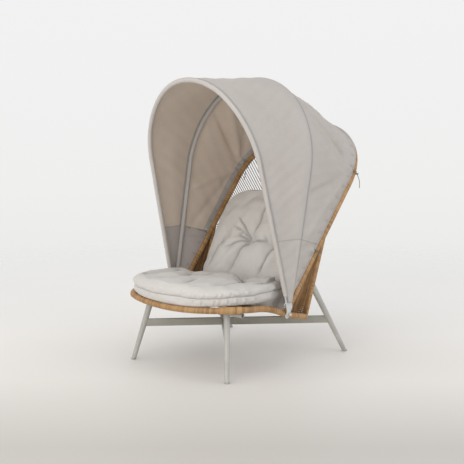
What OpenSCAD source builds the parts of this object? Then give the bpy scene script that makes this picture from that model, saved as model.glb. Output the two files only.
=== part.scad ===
// Outdoor pod chair: white crossed base, rope-strung shell on wrapped tubes, tufted cushions and a folding fabric canopy.
// The chair faces -Y. Lengths are millimetres and angles are degrees.

/* [Feet and base] */
// Half the distance between the front feet
front_foot_half = 337; // [300:1:370]
// Half the distance between the rear feet
rear_foot_half = 424; // [390:1:460]
// Distance from the front feet back to the rear feet
foot_depth = 895; // [850:1:940]
// Outer diameter of a leg at the floor
leg_foot_d = 24; // [22:0.5:28]
// Outer diameter of a leg at its top
leg_top_d = 34; // [30:0.5:38]
// Wall of the leg tubes
leg_wall = 1.6; // [1.2:0.1:2.2]
// Height of the foot glides
glide_h = 8; // [6:0.5:12]
// Diameter of the foot glides
glide_d = 28; // [27:0.5:34]
// Height of the middle of the crossed beams
beam_z = 202; // [180:1:225]
// Height of a beam's section
beam_h = 38; // [32:1:44]
// Width of a beam's section
beam_w = 20; // [16:1:24]
// Wall of the beams
beam_wall = 1.8; // [1.4:0.1:2.4]
// Diameter of the bolt where the beams cross
beam_bolt_d = 8; // [6:0.5:10]

/* [Seat ring] */
// Half width of the seat ring at the canopy hinges
ring_half = 388; // [375:1:395]
// Height of the seat ring at the canopy hinges
hinge_z = 288; // [280:1:296]
// Distance of the hinges behind the front feet
hinge_y = 395; // [380:1:410]
// Height of the ring's front corners
ring_corner_z = 374; // [366:1:382]
// How far the front corners lie ahead of the front feet
ring_corner_ahead = 22; // [10:1:34]
// How far the front of the ring bows forward of its corners
ring_bow = 78; // [66:1:90]
// How far the front of the ring dips below its corners
ring_dip = 32; // [22:1:42]
// Half width of the ring at its rear corners
ring_rear_half = 386; // [374:1:392]
// Distance of the rear corners behind the front feet
ring_rear_y = 598; // [580:1:620]
// Height of the ring's rear corners
ring_rear_z = 240; // [238:1:250]
// Bend radius of the ring's rear corners
ring_rear_r = 40; // [36:1:60]
// Diameter of the steel tube in the ring and the arch
tube_d = 25; // [22:0.5:27]
// Wall of the frame tubes
tube_wall = 1.8; // [1.4:0.1:2.4]
// Diameter over the woven wrap
wrap_d = 32; // [30:0.5:34]
// Distance of the front cross tube behind the front feet
cross_tube_y = 76; // [66:1:90]

/* [Back arch] */
// Lean of the back arch from upright
arch_lean = 40.4; // [38:0.2:42]
// Half width of the arch at its shoulders
arch_half = 407; // [400:1:414]
// Length of the arch along its lean, to the outside of its top corner
arch_len = 1247; // [1200:1:1290]
// Distance up the arch at which the rear posts join it
post_join = 494; // [470:1:520]
// Diameter of the rear posts
post_d = 22; // [20:0.5:24]

/* [Ropes] */
// Diameter of the ropes
rope_d = 5; // [4:0.5:6]
// Ropes in each layer of the back
back_ropes = 40; // [30:1:48]
// Ropes on each side
side_ropes = 9; // [5:1:12]
// Ropes under the seat
seat_ropes_n = 20; // [14:1:26]

/* [Canopy] */
// Lean of the front hoop from upright
front_lean = -14.5; // [-18:0.5:-10]
// Lean of the rear hoop from upright
rear_lean = 11.2; // [9:0.2:13]
// Half width of the front hoop at its shoulders
front_half = 373; // [365:1:380]
// Half width of the rear hoop at its shoulders
rear_half = 425; // [415:1:435]
// Height of the front hoop's straight sides
front_side = 795; // [770:1:820]
// Height of the rear hoop's straight sides
rear_side = 745; // [720:1:770]
// Height of the front hoop's rounded top
front_rise = 437; // [420:1:455]
// Height of the rear hoop's rounded top
rear_rise = 483; // [465:1:500]
// Diameter of the hoop tubes
hoop_d = 19; // [17:0.5:21]
// Wall of the hoop tubes
hoop_wall = 1.5; // [1.2:0.1:2]
// Thickness of the canopy fabric
cloth_t = 1.6; // [1.2:0.1:2.4]
// Length of the flat end of a hoop
tab_len = 124; // [80:1:140]
// Width of the flat end of a hoop
tab_w = 24; // [22:0.5:27]
// Thickness of the flat end of a hoop
tab_t = 4; // [3:0.5:4.5]
// Diameter of the hinge studs
stud_d = 8; // [7:0.5:10]

/* [Cushions] */
// Half width of the seat cushion
seat_half = 368; // [355:1:374]
// Height of the seat cushion's border over the ring
seat_border = 90; // [78:1:98]
// Height of the seat cushion's crown over the floor
seat_level = 474; // [464:1:484]
// Half width of the back cushion
back_half = 330; // [310:1:338]
// Length of the back cushion along its lean
back_len = 566; // [540:1:580]
// Thickness of the back cushion at its middle
back_t = 185; // [160:1:195]
// Depth of the sewn tufts
tuft_deep = 42; // [25:1:48]

/* [Hidden] */
$fn = 48;

// Clearances: between fixed pieces, in a running hinge, and the overrun of a cut
seat_gap = 0.3;
run_gap = 0.08;
weld_gap = 0.05;
over = 1;

// Colours
white_c = "whitesmoke";
tan_c = "peru";
rope_c = "sandybrown";
cushion_c = "lightgray";
canopy_c = "darkgray";
glide_c = "gainsboro";
steel_c = "silver";

function unit(v) = v / norm(v);
function mix(a, b, t) = a + (b - a) * t;
function sgn_pow(v, p) = sign(v) * pow(abs(v), p);
function flip(p) = [-p.x, p.y, p.z];
function backward(L) = [for (i = [len(L) - 1 : -1 : 0]) L[i]];

// A bent tube is a list P of corner points and a list R of their bend radii, as on a tube bender
function corner_half(P, k) = acos(unit(P[k - 1] - P[k]) * unit(P[k + 1] - P[k])) / 2;
function corner_cut(P, R, k) = k <= 0 || k >= len(P) - 1 ? 0 : R[k] / tan(corner_half(P, k));
function run_dir(P, k) = unit(P[k + 1] - P[k]);
function run_start(P, R, k) = P[k] + run_dir(P, k) * corner_cut(P, R, k);
function run_end(P, R, k) = P[k + 1] - run_dir(P, k) * corner_cut(P, R, k + 1);
function bend_centre(P, R, k) =
    P[k] + unit(unit(P[k - 1] - P[k]) + unit(P[k + 1] - P[k])) * R[k] / sin(corner_half(P, k));
function bend_angle(P, k) = 180 - 2 * corner_half(P, k);
function bend_out(P, R, k) = unit(run_end(P, R, k - 1) - bend_centre(P, R, k));
function bend_point(P, R, k, t) =
    bend_centre(P, R, k) + R[k] * (cos(t) * bend_out(P, R, k) + sin(t) * run_dir(P, k - 1));
bend_steps = 24;
sweep_steps = 200;
function path_points(P, R) = [for (k = [0 : len(P) - 2]) each concat(
    [run_start(P, R, k), run_end(P, R, k)],
    k == len(P) - 2 ? [] : [for (i = [1 : bend_steps - 1])
        bend_point(P, R, k + 1, bend_angle(P, k + 1) * i / bend_steps)])];

// A line of points as three tables of coordinates over the distance along it
function distances(L) = [for (i = 0, s = 0; i < len(L);
    s = s + (i + 1 < len(L) ? norm(L[i + 1] - L[i]) : 0), i = i + 1) s];
function tables(L) = let (d = distances(L))
    [for (axis = [0 : 2]) [for (i = [0 : len(L) - 1]) [d[i], L[i][axis]]]];
function table_len(T) = T[0][len(T[0]) - 1][0];
function at(T, d) = [lookup(d, T[0]), lookup(d, T[1]), lookup(d, T[2])];
probe = 4;
function along_at(T, d) = unit(at(T, min(d + probe, table_len(T))) - at(T, max(d - probe, 0)));

module placed(o, u, w) {
    n = cross(u, w);
    multmatrix([[u.x, w.x, n.x, o.x], [u.y, w.y, n.y, o.y], [u.z, w.z, n.z, o.z], [0, 0, 0, 1]]) children();
}
steep_share = 0.9;
function side_of(d) = unit(cross(abs(d.z) < steep_share ? [0, 0, 1] : [1, 0, 0], d));
module along(a, b) {
    d = unit(b - a);
    placed(a, side_of(d), cross(d, side_of(d))) children();
}
module ring_shape(ro, ri) difference() {
    circle(r = ro);
    if (ri > 0) circle(r = ri);
}
module straight(a, b, ro, ri = 0) along(a, b) linear_extrude(height = norm(b - a)) ring_shape(ro, ri);
module bend_part(P, R, k, from_share = 0, to_share = 1) {
    whole = bend_angle(P, k);
    t = whole * from_share;
    u = bend_out(P, R, k);
    w = run_dir(P, k - 1);
    placed(bend_centre(P, R, k), cos(t) * u + sin(t) * w, cos(t) * w - sin(t) * u)
        rotate_extrude(angle = whole * (to_share - from_share), $fn = sweep_steps) translate([R[k], 0]) children();
}
// A long tube is made of straight and bent lengths, butted with a hair of weld between them
function weld_share(P, R, k) = weld_gap / (R[k] * bend_angle(P, k) * PI / 180);
module bent_tube(P, R, ro, ri = 0) {
    for (k = [0 : len(P) - 2]) if (norm(run_end(P, R, k) - run_start(P, R, k)) > weld_gap)
        straight(run_start(P, R, k), run_end(P, R, k), ro, ri);
    for (k = [1 : len(P) - 2]) bend_part(P, R, k, weld_share(P, R, k), 1 - weld_share(P, R, k))
        ring_shape(ro, ri);
}
// Any outline swept along a flat path: its X points out of the bends and its Y along the normal n
module swept(P, R, n) {
    for (k = [0 : len(P) - 2]) let (a = run_start(P, R, k), b = run_end(P, R, k)) if (norm(b - a) > weld_gap)
        placed(b, cross(unit(b - a), n), n) linear_extrude(height = norm(b - a)) children();
    for (k = [1 : len(P) - 2]) bend_part(P, R, k, weld_share(P, R, k), 1 - weld_share(P, R, k)) children();
}
module both_sides() {
    children();
    mirror([1, 0, 0]) children();
}

// A closed surface from rings of points with a point at each end, and one from a grid with two faces
function ring_faces(n, m) = [for (j = [0 : n - 2]) for (i = [0 : m - 1]) each let (a = j * m + i,
    b = j * m + (i + 1) % m, c = a + m, d = b + m) [[a, c, b], [b, c, d]]];
module closed_rings(rings, first, last) {
    n = len(rings);
    m = len(rings[0]);
    polyhedron(concat([for (r = rings) each r], [first, last]), concat(ring_faces(n, m),
        [for (i = [0 : m - 1]) [n * m, i, (i + 1) % m]],
        [for (i = [0 : m - 1]) [n * m + 1, (n - 1) * m + (i + 1) % m, (n - 1) * m + i]]));
}

// The frame's own origin lies on the floor, midway between the rim's front and the arch's top
module framed(colour) color(colour) translate([0, -mid_y, 0]) children();

// Seat ring: it rises from the rear corners through the hinges to the front corners and dips in the front
tube_r = tube_d / 2;
wrap_r = wrap_d / 2;
tube_in = tube_r - tube_wall;
wrap_in = tube_r + seat_gap;
hinge = [ring_half, hinge_y, hinge_z];
side_back_share = 0.717;
side_lift_share = 0.63;
ring_corner = [ring_half, -ring_corner_ahead, ring_corner_z];
ring_side = [ring_half, mix(ring_corner.y, hinge_y, side_back_share),
    mix(hinge_z, ring_corner_z, side_lift_share)];
ring_front = [0, ring_corner.y - ring_bow, ring_corner_z - ring_dip];
ring_rear = [ring_rear_half, ring_rear_y, ring_rear_z];
ring_half_path = [ring_rear, hinge, ring_side, ring_corner];
rear_middle = [0, ring_rear_y, ring_rear_z];
ring_path = concat([rear_middle], ring_half_path, [ring_front],
    [for (p = backward(ring_half_path)) flip(p)], [rear_middle]);
hinge_cut_share = 0.12;
side_cut_share = 0.82;
corner_cut_share = 0.427;
front_cut_share = 0.568;
side_run = norm(ring_side - hinge);
front_run = norm(ring_front - ring_corner);
function radius_for(k, cut) = cut * tan(corner_half(ring_path, k));
ring_half_radii = [ring_rear_r, radius_for(2, side_run * hinge_cut_share),
    radius_for(3, side_run * side_cut_share), radius_for(4, front_run * corner_cut_share)];
ring_radii = concat([0], ring_half_radii, [radius_for(5, front_run * front_cut_share)],
    backward(ring_half_radii), [0]);
ring_points = path_points(ring_path, ring_radii);
ring_table = tables(ring_points);
front_middle = bend_point(ring_path, ring_radii, 5, bend_angle(ring_path, 5) / 2);
ring_half_len = table_len(ring_table) / 2;
// The wrap is in two lengths that meet just behind the hinges
wrap_split_share = 0.3;
wrap_split = mix(hinge, ring_rear, wrap_split_share);
wrap_split_next = wrap_split + unit(ring_rear - hinge) * seat_gap;
rim_path = concat([wrap_split], [for (k = [2 : 8]) ring_path[k]], [flip(wrap_split)]);
rim_radii = concat([0], [for (k = [2 : 8]) ring_radii[k]], [0]);
base_path = [wrap_split_next, ring_rear, flip(ring_rear), flip(wrap_split_next)];
base_radii = [0, ring_rear_r, ring_rear_r, 0];

// Points of a plane that leans about the hinge line: x across, s up the plane, out ahead of it
function leaning(x, s, lean, out, origin) =
    [x, origin.y + s * sin(lean) - out * cos(lean), origin.z + s * cos(lean) + out * sin(lean)];
function arch_x(s) = mix(ring_half, arch_half, s / arch_len);
function arch_point(x, s, out = 0) = leaning(x, s, arch_lean, out, hinge);
function arch_path(s) = [arch_point(arch_x(s), s), arch_point(arch_half, arch_len),
    arch_point(-arch_half, arch_len), arch_point(-arch_x(s), s)];
arch_bend_r = arch_half * tan(corner_half(arch_path(0), 1));
arch_radii = [0, arch_bend_r, arch_bend_r, 0];
arch_table = tables(path_points(arch_path(0), arch_radii));
arch_normal = [0, -cos(arch_lean), sin(arch_lean)];
arch_start = wrap_r / 2;

// Rear posts, from the ring's rear corners to the arch
post_r = post_d / 2;
post_wrap_r = post_r + wrap_r - tube_r;
post_foot = bend_point(ring_path, ring_radii, 1, bend_angle(ring_path, 1) / 2);
post_top = arch_point(arch_x(post_join), post_join);

// Canopy hinges: plate, rear hoop's tab, front hoop's tab and washer lie side by side on one stud
hoop_lift = 5;
plate_t = 4;
plate_off = 5;
plate_x = ring_half + tube_r + plate_off;
rear_tab_x = plate_x + plate_t + seat_gap;
front_tab_x = rear_tab_x + tab_t + seat_gap;
washer_x = front_tab_x + tab_t + seat_gap;
washer_t = 1.5;
washer_r = 10;
cap_x = washer_x + washer_t + seat_gap;
cap_flat_h = 5;
cap_r = 7.5;
pivot = [0, hinge_y, hinge_z + hoop_lift];
stud_r = stud_d / 2;
stud_end = cap_x + cap_flat_h;
hoop_r = hoop_d / 2;
tab_lap = 22;
tab_nose = 14;
shoulder_angle = 45;
function shoulder_r(half, rise) = (rise + half * (tan(shoulder_angle) - 1 / cos(shoulder_angle)))
    / (tan(shoulder_angle) + 1 - 1 / cos(shoulder_angle));
function crown_r(half, rise) = let (r = shoulder_r(half, rise)) r - (r - half) / cos(shoulder_angle);
function shoulder_s(half, side, rise) = side + shoulder_r(half, rise) * tan(shoulder_angle / 2);
function peak_s(half, side, rise) = let (r = shoulder_r(half, rise))
    side + r * sin(shoulder_angle) + (half - r + r * cos(shoulder_angle)) / tan(shoulder_angle);
function hoop_path(s, tab_x, half, side, rise, lean) = let (
    top = shoulder_s(half, side, rise), x = mix(tab_x + tab_t / 2, half, s / top)) [
    leaning(x, s, lean, 0, pivot), leaning(half, top, lean, 0, pivot),
    leaning(0, peak_s(half, side, rise), lean, 0, pivot), leaning(-half, top, lean, 0, pivot),
    leaning(-x, s, lean, 0, pivot)];
function hoop_radii(P, half, rise) = let (crown = crown_r(half, rise),
    cut = norm(P[2] - P[1]) - crown / tan(corner_half(P, 2)), r = cut * tan(corner_half(P, 1)))
    [0, r, crown, r, 0];
function front_path(s) = hoop_path(s, front_tab_x, front_half, front_side, front_rise, front_lean);
function rear_path(s) = hoop_path(s, rear_tab_x, rear_half, rear_side, rear_rise, rear_lean);
front_radii = hoop_radii(front_path(0), front_half, front_rise);
rear_radii = hoop_radii(rear_path(0), rear_half, rear_rise);
front_table = tables(path_points(front_path(0), front_radii));
rear_table = tables(path_points(rear_path(0), rear_radii));
sleeve_t = 2.7;
sleeve_r = hoop_r + seat_gap + sleeve_t;
sleeve_start = 150;

mid_y = (arch_point(0, arch_len).y + front_middle.y) / 2;

// Base: tapered legs on round glides
leg_foot_r = leg_foot_d / 2;
leg_top_r = leg_top_d / 2;
function rim_at(y) = let (side = [for (p = ring_points) if (p.x > 0 && p.y < hinge_y) p])
    [lookup(y, [for (p = side) [p.y, p.x]]), y, lookup(y, [for (p = side) [p.y, p.z]])];
cross_end = rim_at(cross_tube_y);
cross_z = cross_end.z - wrap_r - seat_gap - tube_r;
cross_x = cross_end.x - seat_gap;
front_lean_in_share = 0.8;
front_leg_top = [front_foot_half * front_lean_in_share, cross_tube_y, cross_z];
front_foot = [front_foot_half, 0, 0];
rear_foot = [rear_foot_half, foot_depth, 0];
leg_join_share = 0.39;
rear_leg_top = mix(post_foot, post_top, leg_join_share);
front_leg_stop = tube_r / 4;
function leg_r(foot, top, z, grow = 0) = mix(leg_foot_r, leg_top_r, z / top.z) + grow;
function leg_at(foot, top, z) = mix(foot, top, z / top.z);

module leg_solid(foot, top, grow) {
    low = leg_at(foot, top, -leg_foot_r);
    along(low, top) cylinder(h = norm(top - low), r1 = leg_r(foot, top, low.z, grow), r2 = leg_top_r + grow);
}
module leg(foot, top) difference() {
    leg_solid(foot, top, 0);
    leg_solid(foot, top, -leg_wall);
    translate([foot.x, foot.y, glide_h - leg_top_d]) cube(2 * leg_top_d, center = true);
}
module leg_front() difference() {
    leg(front_foot, front_leg_top);
    straight([0, cross_tube_y, cross_z], [front_foot_half, cross_tube_y, cross_z], tube_r + seat_gap);
    translate([front_leg_top.x, cross_tube_y, cross_z - front_leg_stop + leg_top_d])
        cube(2 * leg_top_d, center = true);
}
module leg_rear() difference() {
    leg(rear_foot, rear_leg_top);
    straight(post_foot, post_top, post_r + seat_gap);
    placed(rear_leg_top, [1, 0, 0], unit(post_top - post_foot)) translate([0, 0, 2 * leg_top_d])
        cube(4 * leg_top_d, center = true);
}
module leg_front_right() framed(white_c) leg_front();
module leg_front_left() framed(white_c) mirror([1, 0, 0]) leg_front();
module leg_rear_right() framed(white_c) leg_rear();
module leg_rear_left() framed(white_c) mirror([1, 0, 0]) leg_rear();

glide_r = glide_d / 2;
glide_lip = 2;
glide_round = 1.5;
module glide(foot) translate([foot.x, foot.y, 0]) rotate_extrude()
    polygon([[0, 0], [glide_r - glide_round, 0], [glide_r, glide_round], [glide_r, glide_h - glide_lip],
        [glide_r - glide_lip, glide_h - seat_gap], [0, glide_h - seat_gap]]);
module foot_glides() framed(glide_c) both_sides() {
    glide(front_foot);
    glide(rear_foot);
}

// Crossed beams from each front leg to the opposite rear leg, halved into each other
function beam_end(foot, top) = leg_at(foot, top, beam_z);
beam_a = flip(beam_end(front_foot, front_leg_top));
beam_b = beam_end(rear_foot, rear_leg_top);
cross_share = -beam_a.x / (beam_b.x - beam_a.x);
beam_cross = mix(beam_a, beam_b, cross_share);
module past_leg(foot, top, ahead) {
    w = unit(top - foot);
    placed(leg_at(foot, top, beam_z), unit(ahead - w * (ahead * w)), w)
        translate([2 * beam_h, 0, 0]) cube(4 * beam_h, center = true);
}
module beam_solid(grow) along(beam_a, beam_b) linear_extrude(height = norm(beam_b - beam_a))
    square([beam_w + 2 * grow, beam_h + 2 * grow], center = true);
module beam(up) difference() {
    beam_solid(0);
    beam_solid(-beam_wall);
    mirror([1, 0, 0]) intersection() {
        beam_solid(seat_gap);
        translate([beam_cross.x, beam_cross.y, beam_z - up * (beam_h - seat_gap / 2)])
            cube(2 * beam_h, center = true);
    }
    translate([0, beam_cross.y, beam_z - beam_h]) cylinder(h = 2 * beam_h, r = beam_bolt_d / 2 + seat_gap);
    mirror([1, 0, 0]) {
        leg_solid(front_foot, front_leg_top, seat_gap);
        past_leg(front_foot, front_leg_top, flip(beam_a - beam_b));
    }
    leg_solid(rear_foot, rear_leg_top, seat_gap);
    past_leg(rear_foot, rear_leg_top, beam_b - beam_a);
}
module cross_beam_lower() framed(white_c) beam(-1);
module cross_beam_upper() framed(white_c) mirror([1, 0, 0]) beam(1);
bolt_head_r = 7;
bolt_head_h = 5;
nut_h = 6.5;
bolt_tail = 3;
module beam_bolt() framed(steel_c) translate([0, beam_cross.y, beam_z]) {
    translate([0, 0, beam_h / 2 + seat_gap]) cylinder(h = bolt_head_h, r = bolt_head_r);
    translate([0, 0, -beam_h / 2 - nut_h - bolt_tail])
        cylinder(h = beam_h + nut_h + bolt_tail + seat_gap + over, r = beam_bolt_d / 2);
}
module beam_nut() framed(steel_c)
    translate([0, beam_cross.y, beam_z - beam_h / 2 - seat_gap - nut_h]) difference() {
        cylinder(h = nut_h, r = bolt_head_r, $fn = 6);
        translate([0, 0, -over]) cylinder(h = nut_h + 2 * over, r = beam_bolt_d / 2 + run_gap);
    }

// Shell frame: steel tubes with a woven wrap wound round them
hinge_off = norm(hinge - bend_point(ring_path, ring_radii, 2, bend_angle(ring_path, 2) / 2));
module ring_at_hinge(r) for (p = [ring_side, ring_rear])
    straight(hinge - unit(p - hinge) * wrap_r, mix(hinge, p, hinge_near_share), r + hinge_off);
module ring_at_post(r) bend_part(ring_path, ring_radii, 1) circle(r = r);
module arch_side_solid(r) straight(hinge, arch_point(arch_x(arch_len), arch_len), r);
hinge_near_share = 0.5;
module post_solid(r) straight(post_foot, post_top, r);
module boss_solid(r) straight([ring_half, pivot.y, pivot.z], [plate_x + plate_t, pivot.y, pivot.z], r);
boss_r = 9;
module seat_ring_tube() framed(steel_c) {
    bent_tube(rim_path, rim_radii, tube_r, tube_in);
    bent_tube(base_path, base_radii, tube_r, tube_in);
}
module seat_rim_wrap() framed(tan_c) difference() {
    bent_tube(rim_path, rim_radii, wrap_r, wrap_in);
    both_sides() arch_side_solid(tube_r + seat_gap);
    both_sides() boss_solid(boss_r + seat_gap);
}
module seat_base_wrap() framed(tan_c) difference() {
    bent_tube(base_path, base_radii, wrap_r, wrap_in);
    both_sides() post_solid(post_r + seat_gap);
}
module front_cross_tube() framed(white_c)
    straight([-cross_x, cross_tube_y, cross_z], [cross_x, cross_tube_y, cross_z], tube_r, tube_in);
binding_t = 4;
binding_from_share = 0.2;
binding_to_share = 0.48;
module rim_bindings() framed(tan_c) both_sides() difference() {
    bend_part(ring_path, ring_radii, 4, binding_from_share, binding_to_share)
        ring_shape(wrap_r + seat_gap + binding_t, wrap_r + seat_gap);
    straight([0, cross_tube_y, cross_z], [ring_half, cross_tube_y, cross_z], tube_r + seat_gap);
}
arch_meet = unit(ring_rear - hinge) * unit(arch_point(arch_half, arch_len) - hinge);
arch_tube_start = (tube_r + seat_gap + hinge_off + tube_r * abs(arch_meet)) / sqrt(1 - pow(arch_meet, 2));
module back_arch_tube() framed(steel_c) bent_tube(arch_path(arch_tube_start), arch_radii, tube_r, tube_in);
module back_arch_wrap() framed(tan_c) difference() {
    bent_tube(arch_path(arch_start), arch_radii, wrap_r, wrap_in);
    both_sides() ring_at_hinge(wrap_r + seat_gap);
    both_sides() post_solid(post_r + seat_gap);
    both_sides() boss_solid(boss_r + seat_gap);
}
module rear_posts() framed(steel_c) both_sides() difference() {
    straight(post_foot, post_top, post_r, post_r - tube_wall);
    ring_at_post(tube_r + seat_gap);
    arch_side_solid(tube_r + seat_gap);
}
module rear_post_wraps() framed(tan_c) both_sides() difference() {
    straight(post_foot, post_top, post_wrap_r, post_r + seat_gap);
    ring_at_post(wrap_r + seat_gap);
    arch_side_solid(wrap_r + seat_gap);
    leg_solid(rear_foot, rear_leg_top, seat_gap);
}

// Canopy brackets: a plate welded to the ring through a boss, with the stud that the hoops turn on
plate_w = 28;
plate_up = 42;
plate_down = 10;
plate_lean = 32;
module bracket() difference() {
    union() {
        boss_solid(boss_r);
        translate([plate_x, pivot.y, pivot.z]) rotate([-plate_lean, 0, 0]) rotate([90, 0, 90])
            linear_extrude(height = plate_t) {
                translate([-plate_w / 2, -plate_down]) square([plate_w, plate_up + plate_down]);
                translate([0, -plate_down]) circle(r = plate_w / 2);
                translate([0, plate_up]) circle(r = plate_w / 2);
            }
        translate([plate_x, pivot.y, pivot.z]) rotate([0, 90, 0]) cylinder(h = stud_end - plate_x, r = stud_r);
    }
    ring_at_hinge(tube_r + seat_gap);
    arch_side_solid(tube_r + seat_gap);
}
module bracket_right() framed(white_c) bracket();
module bracket_left() framed(white_c) mirror([1, 0, 0]) bracket();
module pivot_washers() framed(steel_c) both_sides() translate([washer_x, pivot.y, pivot.z]) rotate([0, 90, 0])
    difference() {
        cylinder(h = washer_t, r = washer_r);
        translate([0, 0, -over]) cylinder(h = washer_t + 2 * over, r = stud_r + run_gap);
    }
module pivot_cap_nuts() framed(white_c) both_sides() translate([cap_x, pivot.y, pivot.z]) rotate([0, 90, 0])
    difference() {
        union() {
            cylinder(h = cap_flat_h, r = cap_r, $fn = 6);
            translate([0, 0, cap_flat_h]) sphere(r = cap_r * cos(30));
        }
        translate([0, 0, -cap_r]) cylinder(h = cap_r, r = 2 * cap_r);
        translate([0, 0, -over]) cylinder(h = cap_flat_h + seat_gap + over, r = stud_r + run_gap);
    }

// Canopy hoops
module hoop_tab(tab_x, lean) translate([tab_x, pivot.y, pivot.z]) rotate([-lean, 0, 0]) rotate([90, 0, 90])
    linear_extrude(height = tab_t) difference() {
        union() {
            translate([-tab_w / 2, 0]) square([tab_w, tab_len - hoop_r]);
            translate([-hoop_r * hoop_flat_share, 0]) square([2 * hoop_r * hoop_flat_share, tab_len]);
            circle(r = tab_w / 2);
        }
        circle(r = stud_r + run_gap);
    }
hoop_flat_share = 0.7;
module hoop(path, radii, tab_x, lean) {
    bent_tube(path, radii, hoop_r, hoop_r - hoop_wall);
    both_sides() hoop_tab(tab_x, lean);
}
module rear_hoop() framed(white_c) hoop(rear_path(tab_len - tab_lap), rear_radii, rear_tab_x, rear_lean);
module front_hoop() framed(white_c) hoop(front_path(tab_len - tab_lap), front_radii, front_tab_x, front_lean);
module rear_hoop_sleeve() framed(canopy_c)
    bent_tube(rear_path(sleeve_start), rear_radii, sleeve_r, hoop_r + seat_gap);
module front_hoop_sleeve() framed(canopy_c)
    bent_tube(front_path(sleeve_start), front_radii, sleeve_r, hoop_r + seat_gap);

// Canopy panels: thin sheets drawn between two curves, a little hollow between them
panel_cols = 44;
panel_rows = 6;
panel_sag_share = 0.045;
lay_angle = 55;
panel_centre_z = pivot.z + rear_side;
function radial(p) = unit([p.x, 0, max(p.z - panel_centre_z, 0)]);
function edge_point(p, q, r) = let (e = radial(p), t = unit(q - p - e * ((q - p) * e)))
    p + r * (sin(lay_angle) * e + cos(lay_angle) * t);
function panel_point(A, B, ra, rb, f, g) = let (
    a = at(A, f * table_len(A)), b = at(B, f * table_len(B)),
    p = edge_point(a, b, ra), q = edge_point(b, a, rb), m = mix(p, q, g))
    m - radial(m) * norm(q - p) * panel_sag_share * 4 * g * (1 - g);
function panel_share(i) = let (low = sleeve_start / table_len(front_table)) mix(low, 1 - low, i / panel_cols);
module panel(A, B, ra, rb) {
    n = panel_cols + 1;
    m = panel_rows + 1;
    mid = [for (i = [0 : panel_cols]) [for (j = [0 : panel_rows])
        panel_point(A, B, ra, rb, panel_share(i), j / panel_rows)]];
    outer = [for (row = mid) for (p = row) p + radial(p) * cloth_t / 2];
    inner = [for (row = mid) for (p = row) p - radial(p) * cloth_t / 2];
    k = n * m;
    quads = [for (i = [0 : n - 2]) for (j = [0 : m - 2]) [i * m + j, (i + 1) * m + j, (i + 1) * m + j + 1,
        i * m + j + 1]];
    rim = concat([for (i = [0 : n - 2]) [i * m, (i + 1) * m]],
        [for (j = [0 : m - 2]) [(n - 1) * m + j, (n - 1) * m + j + 1]],
        [for (i = [n - 1 : -1 : 1]) [i * m + m - 1, (i - 1) * m + m - 1]],
        [for (j = [m - 1 : -1 : 1]) [j, j - 1]]);
    polyhedron(concat(outer, inner), concat(
        [for (q = quads) each [[q[0], q[1], q[2]], [q[0], q[2], q[3]]]],
        [for (q = quads) each [[q[0] + k, q[2] + k, q[1] + k], [q[0] + k, q[3] + k, q[2] + k]]],
        [for (e = rim) each [[e[0], e[1] + k, e[1]], [e[0], e[0] + k, e[1] + k]]]));
}
hem_t = 2.4;
hem_r = wrap_r + seat_gap + hem_t;
tie_r = 1.8;
sleeve_lay = sleeve_r + seat_gap + cloth_t;
hem_lay = hem_r + 2 * tie_r + seat_gap + 2 * cloth_t;
module canopy_rear_panel() framed(canopy_c) panel(arch_table, rear_table, hem_lay, sleeve_lay);
module canopy_front_panel() framed(canopy_c) panel(rear_table, front_table, sleeve_lay, sleeve_lay);

// The canopy's rear hem lies on the outer side of the arch and is tied round it
hem_wide = 2 * hem_r;
module rear_hem() framed(canopy_c) swept(arch_path(sleeve_start), arch_radii, arch_normal) intersection() {
    ring_shape(hem_r, wrap_r + seat_gap);
    square(hem_wide);
}
arch_join = norm(post_top - hinge);
net_start_share = 0.11;
function net_share(i) = mix(net_start_share, 1 - net_start_share, i / (back_ropes - 1));
function net_place(i) = mix(arch_join, table_len(arch_table) - arch_join, net_share(i));
tie_side_share = 0.8;
tie_slots = [5, 19, 33];
tie_places = concat([arch_join * tie_side_share], [for (i = tie_slots) net_place(i + 0.5)],
    [table_len(arch_table) - arch_join * tie_side_share]);
module tie_frame(d) {
    placed(at(arch_table, d), cross(along_at(arch_table, d), arch_normal), arch_normal) children();
}
module tie_rings(grow) for (d = tie_places) tie_frame(d) rotate_extrude()
    translate([hem_r + seat_gap + tie_r, 0]) circle(r = tie_r + grow, $fn = 24);
module canopy_ties() framed(rope_c) tie_rings(0);
eyelet_r = 6;
eyelet_wire = 1.1;
eyelet_turn = 80;
module hem_eyelets() framed(steel_c) for (d = tie_places) tie_frame(d) rotate([0, 0, eyelet_turn / 2])
    translate([hem_r + seat_gap + eyelet_wire, 0, 2 * tie_r + eyelet_r + eyelet_wire]) rotate([0, 90, 0])
        rotate_extrude() translate([eyelet_r, 0]) circle(r = eyelet_wire, $fn = 24);

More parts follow.
